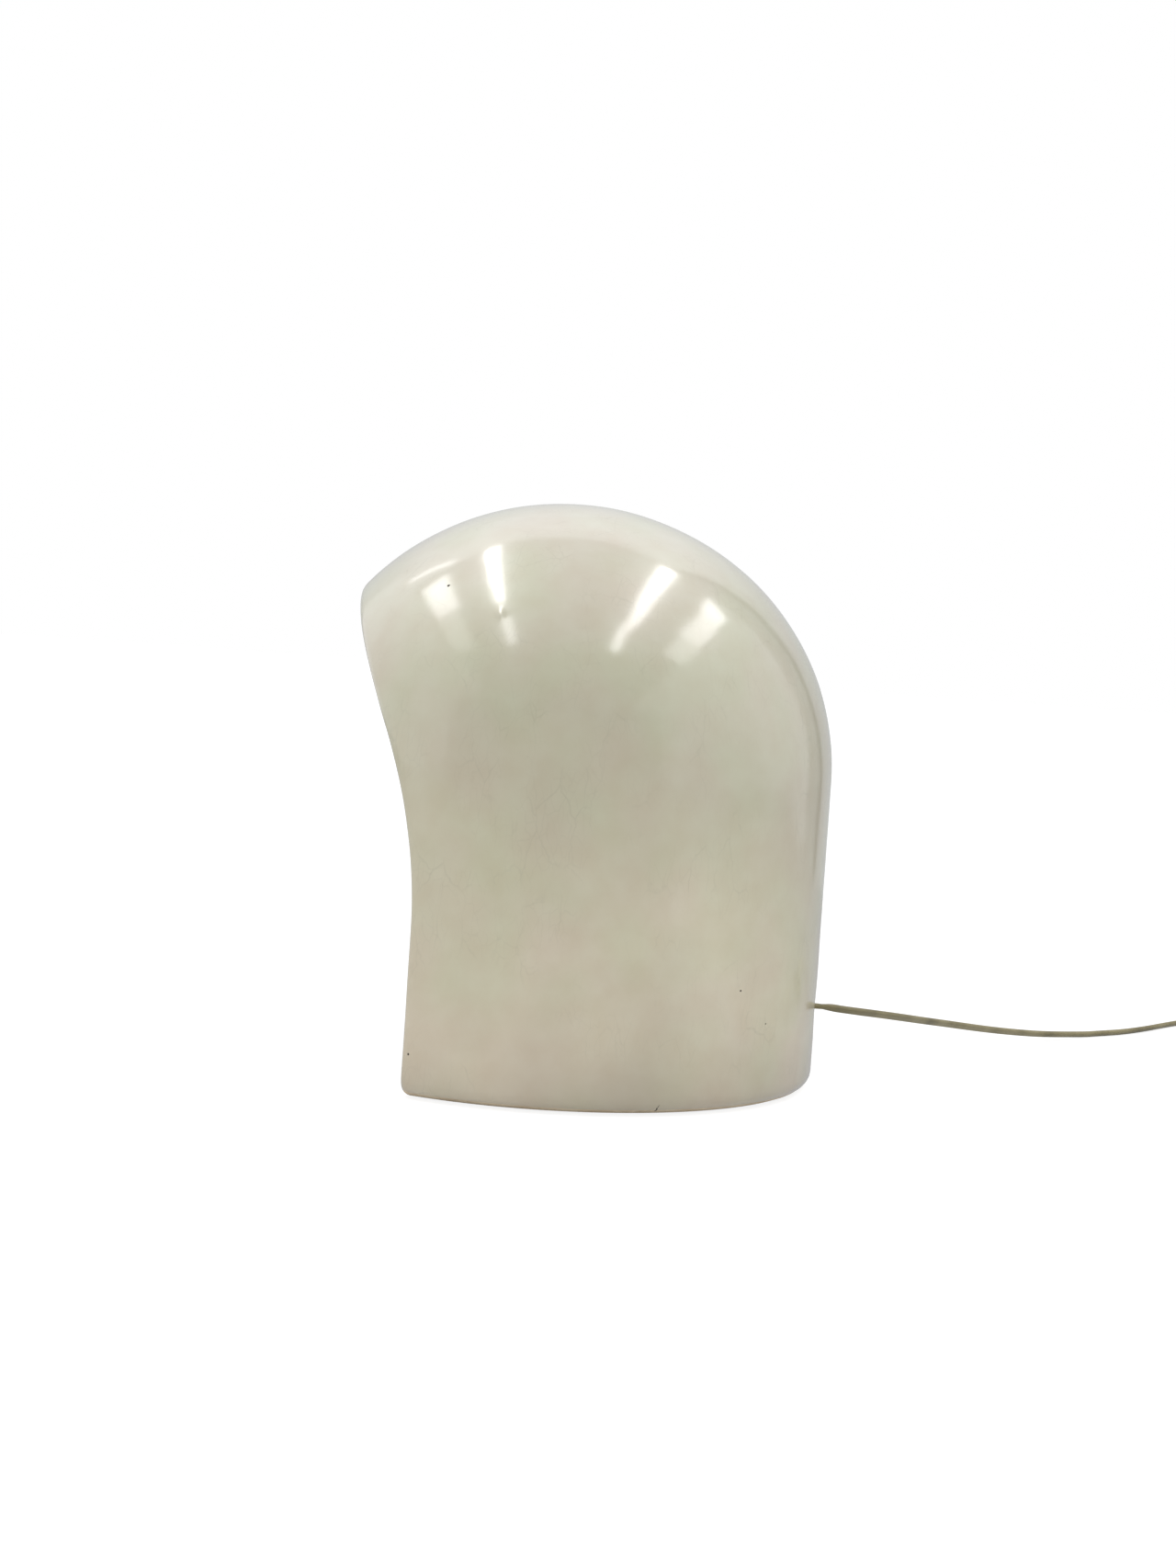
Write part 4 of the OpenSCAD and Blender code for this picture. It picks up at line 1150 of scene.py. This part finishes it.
def onImage(place):
    local = cameraTurn.inverted() @ (Vector(place) - cameraPlace)
    scale = longSide * camera["lens"] / camera["sensorWidth"] / -local.z
    return (imageWidth / 2 - camera["shiftX"] * longSide + local.x * scale,
            imageHeight / 2 + camera["shiftY"] * longSide - local.y * scale)


def surfaceOf(piece):
    graph = bpy.context.evaluated_depsgraph_get()
    return BVHTree.FromObject(piece.evaluated_get(graph), graph)


# Faults of the glaze: a lump, four iron spots and a hairline crack up from the foot
faults = {
    "bumpHeight": 0.45,
    "bumpRadius": 2.2,
    "bumpReach": 3.2,    # how many radii out the lump fades to nothing
    "bumpHalvings": 2,    # of the mesh's edges there
    "specks": {"speckBrow": 0.85, "speckBack": 0.6, "speckLow": 0.42, "speckFront": 0.6},
    "speckTop": 0.22,
    # Each ring of a speck: its share of the radius, and its height above the glaze
    "speckRings": [(0.4, 0.2), (0.75, 0.12), (1.0, -0.05)],
    "speckSides": 14,
    "speckRagged": 0.28,
    "raggedSize": 3,    # the circle on which noise is read for a rim, and from speck to speck
    "raggedApart": 7,
    "crackLength": 5.5,
    "crackWidth": 0.9,
    "crackThinnest": 0.04,    # half of its width where it ends
    "crackTaper": 0.7,
    "crackLift": 0.12,
    "crackLean": 1.1,
    "crackFoot": 0.6,    # how much of it lies below its image point
    "crackWander": ((0.25, 7), (0.15, 17)),    # how far each wave sways, and how fast
    "crackSteps": 14,
}


def raiseBump(piece, centre):
    # The mesh is made finer round the lump and then raised
    shaped = bmesh.new()
    shaped.from_mesh(piece.data)
    radius = faults["bumpRadius"] * mm
    reach = faults["bumpReach"] * radius
    for _ in range(faults["bumpHalvings"]):
        near = [e for e in shaped.edges
                if all((v.co - centre).length < reach for v in e.verts)]
        bmesh.ops.subdivide_edges(shaped, edges=near, cuts=1, use_grid_fill=True, smooth=0.0)
    shaped.normal_update()
    for vertex in shaped.verts:
        away = (vertex.co - centre).length / radius
        if away < faults["bumpReach"]:
            vertex.co += vertex.normal * faults["bumpHeight"] * mm * math.exp(-away * away)
    shaped.to_mesh(piece.data)
    shaped.free()
    piece.data.update()


bumpPlace, _ = onSurface(surfaceOf(ceramicHood), imagePoints["glazeBump"])
raiseBump(ceramicHood, bumpPlace)
hoodSurface = surfaceOf(ceramicHood)


def addSpecks():
    # Low ragged lumps, each a cap of a few rings pressed onto the glaze
    vertices, faces = [], []
    sides, rings, circle = faults["speckSides"], faults["speckRings"], faults["raggedSize"]
    for number, (name, radius) in enumerate(faults["specks"].items()):
        place, normal = onSurface(hoodSurface, imagePoints[name])
        side = normal.orthogonal().normalized()
        over = normal.cross(side)
        top = len(vertices)
        vertices.append(place + normal * faults["speckTop"] * mm)
        for share, height in rings:
            for a in ringPoints(sides):
                edge = Vector((circle * math.cos(a), circle * math.sin(a),
                               faults["raggedApart"] * number))
                ragged = 1 + faults["speckRagged"] * noise.noise(edge)
                vertices.append(place + (side * math.cos(a) + over * math.sin(a))
                                * radius * share * ragged * mm + normal * height * mm)
        first = top + 1
        faces += [(top, first + k, first + (k + 1) % sides) for k in range(sides)]
        faces += skinFaces(len(rings), sides, first)
        faces.append(tuple(range(first + (len(rings) - 1) * sides, len(vertices))))
    return addPiece("ironSpots", vertices, faces, "ironSpot", "lamp", "glaze")


def addCrack():
    # A dark hairline that runs up from the foot, wanders and thins out
    place, _ = onSurface(hoodSurface, imagePoints["edgeCrack"])
    vertices = []
    for i in range(faults["crackSteps"] + 1):
        t = i / faults["crackSteps"]
        wander = sum(sway * math.sin(rate * t) for sway, rate in faults["crackWander"])
        at = place + Vector((0, wander + faults["crackLean"] * (t - 0.5),
                             (t - faults["crackFoot"]) * faults["crackLength"])) * mm
        found, normal, _, _ = hoodSurface.find_nearest(at)
        across = normal.cross(Vector((0, 0, 1))).normalized()
        width = faults["crackWidth"] * (1 - t) ** faults["crackTaper"]
        half = (width / 2 + faults["crackThinnest"]) * mm
        lift = normal * faults["crackLift"] * mm
        vertices += [found - across * half, found + lift, found + across * half]
    faces = tubeFaces(faults["crackSteps"] + 1, 3)
    return addPiece("edgeCrack", vertices, faces, "ironSpot", "lamp", "glaze")


ironSpots = addSpecks()
edgeCrack = addCrack()
print("glaze faults placed")

# Felt glides under the foot: pressed discs with a soft, ragged edge
felt = {
    "radius": 7.0,
    "thickness": 1.0,
    "edge": 0.35,
    "flatRings": (3, 5.5),
    "sag": 0.02,    # how much higher the underside is where its edge begins
    "tuck": 0.08,    # how far the edge lies in, half way round below and above
    "topTuck": 0.1,
    "fray": 0.16,
    "frayFrom": 6,    # only what lies outside this radius frays
    "fraySize": 9,    # the circle on which noise is read for a rim, and from disc to disc
    "frayApart": 5,
    "steps": 72,
    "frontSpread": 0.66,    # of the two in front, as a share of the hood's radius
    "backTurn": 40,    # of the two at the back, in degrees from the side
}


def addFelts():
    spread = felt["frontSpread"] * hoodRadius
    frontPlace = hood["sillWidth"] / 2 - hood["rimFront"]
    ringPlace = (hood["recessRadius"] + hoodRadius - hood["baseRound"]) / 2
    places = []
    for side in (-1, 1):
        a = math.radians(90 - side * felt["backTurn"])
        places += [(side * spread, frontPlace),
                   (ringPlace * math.cos(a), ringPlace * math.sin(a))]
    radius, top, edge = felt["radius"], felt["thickness"], felt["edge"]
    circle = felt["fraySize"]
    # From the middle of the underside, out and round the soft edge, to the top's edge
    profile = [(0, 0), *((r, 0) for r in felt["flatRings"]), (radius - edge, felt["sag"]),
               (radius - felt["tuck"], edge * 0.5), (radius, top * 0.5),
               (radius - felt["topTuck"], top - edge * 0.4), (radius - edge, top)]
    count = len(profile)
    vertices, faces = [], []
    for number, (x, y) in enumerate(places):
        start = len(vertices)
        for a in ringPoints(felt["steps"]):
            fray = felt["fray"] * noise.noise(Vector((circle * math.cos(a),
                                                      circle * math.sin(a),
                                                      felt["frayApart"] * number)))
            for r, z in profile:
                reach = r + (fray if r > felt["frayFrom"] else 0)
                vertices.append(Vector((x + reach * math.cos(a), y + axisY + reach * math.sin(a),
                                        z)) * mm)
        # The profile is open: no face joins its two ends, and one flat face closes the top
        faces += [face for face in skinFaces(felt["steps"], count, start, closed=True)
                  if (face[0] - start) % count < count - 1]
        faces.append(tuple(range(start + count - 1, len(vertices), count)))
    return addPiece("feltGlides", vertices, faces, "felt", "lamp", "felt", ("felt_pads",),
                    merged=weldDistance)


addFelts()

# The bulb's cap: a shell with a rolled round thread
bulbCap = {
    "radius": 13.1,
    "threadPitch": 3.6,
    "threadDepth": 0.75,
    "threadStart": (0.04, 0.16),    # shares of the length in which the thread comes and goes
    "threadEnd": (0.8, 0.92),
    "plainInset": 0.15,    # how much thinner the shell is where it has no thread
    "footShare": 0.05,    # the rounded foot's share of the length, and how far it draws in
    "footInset": 1.6,
    "lipShare": 0.96,    # where the lip that is rolled onto the glass begins
    "lipOut": 0.2,
    "wall": 0.3,
    "innerDrops": (0, 1.5),    # the inner face's rows below the top, and the last above the foot
    "innerRise": 3,
    "steps": 120,
    "rings": 110,
}


def capRadius(t, length, turned):
    # The shell's radius at a share t of its length, and so many turns round it
    turn = t * length / bulbCap["threadPitch"] - turned
    shown = easeStep(t, *bulbCap["threadStart"]) * (1 - easeStep(t, *bulbCap["threadEnd"]))
    radius = (bulbCap["radius"] - bulbCap["plainInset"] * (1 - shown)
              - shown * bulbCap["threadDepth"] * (0.5 - 0.5 * math.cos(2 * math.pi * turn)))
    if t < bulbCap["footShare"]:
        radius -= bulbCap["footInset"] * (1 - t / bulbCap["footShare"]) ** 2
    if t > bulbCap["lipShare"]:
        radius += bulbCap["lipOut"]
    return radius


def addBulbCap():
    low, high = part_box("bulb_cap")
    bottom, top = low.z / mm, high.z / mm
    length = top - bottom
    angles = ringPoints(bulbCap["steps"])
    rows = []
    for j in range(bulbCap["rings"] + 1):
        t = j / bulbCap["rings"]
        rows.append(([capRadius(t, length, a / (2 * math.pi)) for a in angles],
                     bottom + t * length))
    inner = bulbCap["radius"] - bulbCap["threadDepth"] - bulbCap["wall"]
    for z in (*(top - drop for drop in bulbCap["innerDrops"]), bottom + bulbCap["innerRise"]):
        rows.append(([inner] * len(angles), z))
    vertices = [Vector((r * math.cos(a), axisY + r * math.sin(a), z)) * mm
                for radii, z in rows for a, r in zip(angles, radii)]
    faces = skinFaces(len(rows), len(angles), closed=True)
    return addPiece("bulbCap", vertices, faces, "nickelBrass", "bulb", "cap_brass",
                    ("bulb_cap",))


addBulbCap()

# The bulb's blown envelope: a globe that runs into its neck, with a wall of real thickness
bulbGlass = {
    "globe": 30.0,
    "neck": 14.5,
    "throat": 45.0,
    "inCap": 12.4,
    "sunk": 5.0,
    "step": 1.0,    # the height over which it widens out of the cap
    "wall": 0.8,
    "throatSteps": 20,
    "globeSteps": 60,
}


def globeOutline(inset, foot, top):
    globe, neck, throat = bulbGlass["globe"], bulbGlass["neck"], bulbGlass["throat"]
    middle = top - globe
    throatHeight = middle - math.sqrt((globe + throat) ** 2 - (neck + throat) ** 2)
    end = math.degrees(math.atan2(middle - throatHeight, -(neck + throat)))
    inCap, rim = bulbGlass["inCap"] - inset, foot + bulbGlass["sunk"]
    return ([(inCap, foot), (inCap, rim), (neck - inset, rim + bulbGlass["step"])]
            + arc((neck + throat, throatHeight), throat + inset, 180, end,
                  bulbGlass["throatSteps"])
            + arc((0, middle), globe - inset, end - 180, 90, bulbGlass["globeSteps"])[1:])


def addBulbGlass():
    low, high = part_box("bulb_glass")
    outer = globeOutline(0, low.z / mm, high.z / mm)
    inner = globeOutline(bulbGlass["wall"], low.z / mm, high.z / mm)
    onAxis = 0.01    # what lies nearer to the axis than this is put on it
    profile = [(r if r > onAxis else 0, z) for r, z in outer + inner[::-1]]
    return addPiece("bulbGlass", *lathe(profile, (0, axisY)), "opal", "bulb", "opal_glass",
                    ("bulb_glass",), smoothAngle=50, merged=weldDistance)


addBulbGlass()
print("felts and bulb made")

# Finishes of the CAD nodes that keep their own shape
nodeFinishes = {
    "zincSteel": ("bridge", "bridge_screws", "bridge_nuts", "toothed_washer",
                  "terminal_screws", "switch_screws"),
    "vulcanFibre": ("fibre_washers",),
    "turnedBrass": ("nipple", "nipple_locknut", "screw_shell", "centre_contact", "terminals",
                    "switch_spring", "switch_contacts"),
    "nylon": ("cord_grip", "cord_grip_screw"),
    "phenolic": ("holder_cap", "holder_skirt"),
    "porcelain": ("porcelain_insert",),
    "brownCore": ("live_core",),
    "blueCore": ("neutral_core",),
    "blackGlass": ("bulb_insulator",),
    "solder": ("bulb_tip",),
    "clearGlass": ("bulb_stem",),
    "tungsten": ("bulb_supports", "bulb_filament"),
    "creamAbs": ("switch_base", "switch_cover"),
    "brownAbs": ("switch_rocker",),
    "creamPvc": ("pin_sleeves",),
    "nickelBrass": ("plug_pins",),
}
for finishName, nodeNames in nodeFinishes.items():
    for nodeName in nodeNames:
        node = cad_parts[nodeName]
        if not node.material_slots:
            node.data.materials.append(made[finishName])
        for materialSlot in node.material_slots:
            materialSlot.material = made[finishName]
print("CAD nodes finished")

# Studio: a pale floor that keeps the shadow, a white surround, soft boxes above
studio = {
    "floorHalf": 30.0,
    "floorGlow": 0.87,    # what the floor adds to its lit paper near the lamp, so it shows white
    "glowFrom": 0.5,    # it grows to 1 between these distances from the lamp
    "glowTo": 2.5,
    "floorShade": 0.24,
    "floorWhite": 0.80,
    "surround": 1.0,
    "ambient": 0.41,
}


def whereSeen(tree):
    # 1 for rays from the camera, from mirrored gloss and through glass, and 0 for the light
    path = addNode(tree, "ShaderNodeLightPath")
    seen = addNode(tree, "ShaderNodeMath", {0: path.outputs["Is Camera Ray"],
                                            1: path.outputs["Is Glossy Ray"]}, operation="ADD")
    return addNode(tree, "ShaderNodeMath", {0: seen.outputs[0],
                                            1: path.outputs["Is Transmission Ray"]},
                   operation="ADD", use_clamp=True).outputs[0]


def emptyTree(data):
    # The node tree of a material or a world, cleared
    data.use_nodes = True
    data.node_tree.nodes.clear()
    return data.node_tree


def addFloor():
    half = studio["floorHalf"]
    mesh = bpy.data.meshes.new("studioFloor")
    mesh.from_pydata([(-half, -half, 0), (half, -half, 0), (half, half, 0), (-half, half, 0)],
                     [], [(0, 1, 2, 3)])
    floor = bpy.data.objects.new("studioFloor", mesh)
    scene.collection.objects.link(floor)
    material = bpy.data.materials.new("floorPaper")
    tree = emptyTree(material)
    plain = addNode(tree, "ShaderNodeBsdfDiffuse", {"Color": (studio["floorWhite"],) * 3 + (1,)})
    shade = addNode(tree, "ShaderNodeBsdfDiffuse", {"Color": (studio["floorShade"],) * 3 + (1,)})
    place = addNode(tree, "ShaderNodeTexCoord").outputs["Object"]
    away = addNode(tree, "ShaderNodeVectorMath", {0: place}, operation="LENGTH")
    lift = addNode(tree, "ShaderNodeMapRange",
                   {"Value": away.outputs["Value"], "From Min": studio["glowFrom"],
                    "From Max": studio["glowTo"], "To Min": studio["floorGlow"], "To Max": 1})
    glow = addNode(tree, "ShaderNodeEmission", {"Color": (1, 1, 1, 1),
                                               "Strength": lift.outputs[0]})
    white = addNode(tree, "ShaderNodeAddShader", {0: shade.outputs[0], 1: glow.outputs[0]})
    both = addNode(tree, "ShaderNodeMixShader", {0: whereSeen(tree), 1: plain.outputs[0],
                                                 2: white.outputs[0]})
    addNode(tree, "ShaderNodeOutputMaterial", {"Surface": both.outputs[0]})
    mesh.materials.append(material)


def makeWorld():
    world = bpy.data.worlds.new("whiteSurround")
    scene.world = world
    tree = emptyTree(world)
    strength = addNode(tree, "ShaderNodeMapRange",
                       {"Value": whereSeen(tree), "To Min": studio["ambient"],
                        "To Max": studio["surround"]})
    surround = addNode(tree, "ShaderNodeBackground", {"Color": (1, 1, 1, 1),
                                                      "Strength": strength.outputs[0]})
    addNode(tree, "ShaderNodeOutputWorld", {"Surface": surround.outputs[0]})


# The room that the glaze mirrors: a backdrop behind the lamp, pale side walls, a darker end.
# Only its reflection shows: it neither hides the white surround nor blocks light.
# Places are metres: x is away from the backdrop, y runs along it
room = {
    "height": 2.3,
    "side": 3.2,
    "middle": 2.1,    # half of the darker stretch of the ceiling
    "backdropAt": -1.1,
    "backdropFrom": -1.1,
    "backdropTo": 0.86,
    "edge": 0.14,
    "corner": 1.5,
    "floorHeight": 0.0005,
    "colour": "f9fbff",
    # How bright each is low on the walls and high on them, and between which heights it changes
    "glow": {"backdrop": (0.6, 1.25), "paleWall": (1.2, 1.3), "sideWall": (1.0, 1.15),
             "darkWall": (0.45, 0.5), "backdropEdge": (0.02, 0.02),
             "ceiling": (0.42, 0.42), "floor": (0.5, 0.5), "floorPatch": (1.0, 1.0)},
    "glowLow": 0.2,
    "glowHigh": 2.0,
    # Where lamplight falls on the floor, seen low on the side near the back
    "patch": ((0.20, 0.22), (0.06, 0.30), (0.5, 1.7), (1.2, 1.4)),
}


def roomPlanes():
    # The kind and the four corners of each wall, of the ceiling's and floor's parts, and the patch
    side, top, back = room["side"], room["height"], room["backdropAt"]
    left, right, low = room["backdropFrom"], room["backdropTo"], room["floorHeight"]
    edgeEnd, corner, middle = right + room["edge"], room["corner"], room["middle"]
    walls = [
        ("backdrop", (back, left), (back, right)),
        ("backdropEdge", (back, right), (back, edgeEnd)),
        ("darkWall", (back, edgeEnd), (back, corner)),
        ("sideWall", (back, corner), (back, side)),
        ("paleWall", (back, -side), (back, left)),
        ("paleWall", (back, side), (side, side)),
        ("darkWall", (side, side), (side, -side)),
        ("paleWall", (side, -side), (back, -side)),
    ]
    flats = [("ceiling", -middle, middle, top), ("paleWall", middle, side, top),
             ("paleWall", -side, -middle, top), ("floor", -side, side, low)]
    return ([(kind, [(*a, 0), (*b, 0), (*b, top), (*a, top)]) for kind, a, b in walls]
            + [(kind, [(back, y1, z), (side, y1, z), (side, y2, z), (back, y2, z)])
               for kind, y1, y2, z in flats]
            + [("floorPatch", [(x, y, 2 * low) for x, y in room["patch"]])])


def makeRoomTone(lowGlow, highGlow):
    # A wall that only glows, and lights nothing
    material = bpy.data.materials.new("roomTone")
    tree = emptyTree(material)
    place = addNode(tree, "ShaderNodeTexCoord").outputs["Object"]
    upright = addNode(tree, "ShaderNodeSeparateXYZ", {"Vector": place}).outputs["Z"]
    strength = addNode(tree, "ShaderNodeMapRange",
                       {"Value": upright, "From Min": room["glowLow"],
                        "From Max": room["glowHigh"], "To Min": lowGlow, "To Max": highGlow},
                       interpolation_type="SMOOTHSTEP")
    glow = addNode(tree, "ShaderNodeEmission", {"Color": linear(room["colour"]),
                                               "Strength": strength.outputs[0]})
    addNode(tree, "ShaderNodeOutputMaterial", {"Surface": glow.outputs[0]})
    material.cycles.emission_sampling = "NONE"
    return material


def addRoom():
    planes = roomPlanes()
    mesh = bpy.data.meshes.new("mirroredRoom")
    mesh.from_pydata([spot for _, plane in planes for spot in plane], [],
                     [tuple(range(4 * i, 4 * i + 4)) for i in range(len(planes))])
    for glow in room["glow"].values():
        mesh.materials.append(makeRoomTone(*glow))
    order = list(room["glow"])
    for polygon, (kind, _) in zip(mesh.polygons, planes):
        polygon.material_index = order.index(kind)
    shell = bpy.data.objects.new("mirroredRoom", mesh)
    scene.collection.objects.link(shell)
    shell.visible_camera = False
    shell.visible_diffuse = False
    shell.visible_transmission = False
    shell.visible_shadow = False


# Long soft boxes under the ceiling, facing down: where each hangs, its two sides, its power, and
# its turn about the upright where it isn't square to the room. Those that aim at the lamp only
# fill, and no gloss mirrors them
lights = {
    "rowFront": {"place": (-0.27, -0.87, 2.2), "size": (1.46, 0.15), "power": 11},
    "rowFrontEnd": {"place": (1.0, -0.85, 2.2), "size": (0.86, 0.15), "power": 3.2},
    "rowBack": {"place": (-0.10, 0.82, 2.2), "size": (1.7, 0.17), "power": 11.5},
    "rowBackEnd": {"place": (1.08, 0.76, 2.2), "size": (0.66, 0.17), "power": 3.6},
    "panelFront": {"place": (-0.30, -1.66, 2.2), "size": (1.0, 0.46), "power": 9},
    "panelFrontEnd": {"place": (0.75, -1.70, 2.2), "size": (1.1, 0.42), "power": 3},
    "panelBack": {"place": (-0.74, 1.62, 2.2), "size": (0.5, 0.42), "power": 4.8},
    "panelBackMiddle": {"place": (-0.12, 1.68, 2.2), "size": (0.75, 0.45), "power": 6.5},
    "panelBackEnd": {"place": (0.6, 1.76, 2.2), "size": (0.7, 0.5), "power": 4},
    "strip": {"place": (-0.82, -1.09, 1.47), "size": (0.6, 0.07), "power": 0.6, "turn": 57},
    "fillTop": {"place": (0.2, 0, 2.1), "size": (1.2, 1.2), "power": 5.5, "aim": (0, 0, 0.2)},
    "fillRight": {"place": (1.7, 1.05, 0.14), "size": (1.0, 0.24), "power": 4.2,
                  "aim": (0, 0, 0.08)},
    "fillLeft": {"place": (0.7, -1.7, 0.2), "size": (1.2, 0.36), "power": 5.6,
                 "aim": (0, 0, 0.08)},
}


def addLights():
    for name, light in lights.items():
        data = bpy.data.lights.new(name, "AREA")
        data.shape = "RECTANGLE"
        data.size, data.size_y = light["size"]
        data.energy = light["power"]
        lamp = bpy.data.objects.new(name, data)
        lamp.location = light["place"]
        lamp.rotation_euler.z = math.radians(light.get("turn", 0))
        if "aim" in light:
            ahead = Vector(light["aim"]) - lamp.location
            lamp.rotation_euler = ahead.to_track_quat("-Z", "Y").to_euler()
            lamp.visible_glossy = False
        scene.collection.objects.link(lamp)


addRoom()
addFloor()
makeWorld()
addLights()
scene.view_settings.view_transform = "Standard"
print("studio lit")


def pointReport():
    # How far each placed thing shows from its image point, in x and y
    shown = [onImage(ceramicHood.matrix_world @ v.co) for v in ceramicHood.data.vertices]
    xs = [p[0] for p in shown]
    ys = [p[1] for p in shown]
    crown, foot = min(ys), max(ys)
    report = {
        "leftEdge": [min(xs) - imagePoints["leftEdge"], 0],
        "rightEdge": [max(xs) - imagePoints["rightEdge"], 0],
        "topEdge": [0, crown - imagePoints["topEdge"]],
        "bottomEdge": [0, foot - imagePoints["bottomEdge"]],
    }

    def offset(name, found):
        report[name] = [found[0] - imagePoints[name][0], found[1] - imagePoints[name][1]]

    offset("browTip", min(shown))
    # The waist is where the rim shows farthest from the left, row by row between two heights,
    # which are shares of the way from the crown to the foot
    waistFrom, waistTo, rowsDown = 0.45, 0.8, 60
    rim = {}
    for x, y in shown:
        share = (y - crown) / (foot - crown)
        if waistFrom < share < waistTo:
            row = round(rowsDown * share)
            rim[row] = min(rim.get(row, (x, y)), (x, y))
    offset("rimWaist", max(rim.values()))
    # The corner is what shows farthest along a line that runs down and to the left
    downward, leftward = 0.66, 0.75
    offset("frontCorner", max(shown, key=lambda p: downward * p[1] - leftward * p[0]))
    line = [onImage(p * mm) for p in nearRoute]
    for name in ("cordExit", "cordMiddle"):
        offset(name, min(line, key=lambda p: abs(p[0] - imagePoints[name][0])))
    offset("cordLowest", max((p for p in line if p[0] < imageWidth), key=lambda p: p[1]))
    crackMiddle = sum((Vector(v.co) for v in edgeCrack.data.vertices), Vector())
    offset("edgeCrack", onImage(crackMiddle / len(edgeCrack.data.vertices)))
    offset("glazeBump", onImage(bumpPlace))
    perSpeck = len(ironSpots.data.vertices) // len(faults["specks"])
    for number, name in enumerate(faults["specks"]):
        offset(name, onImage(ironSpots.data.vertices[number * perSpeck].co))
    return {name: [round(value, 2) for value in pair] for name, pair in report.items()}


pointReport()
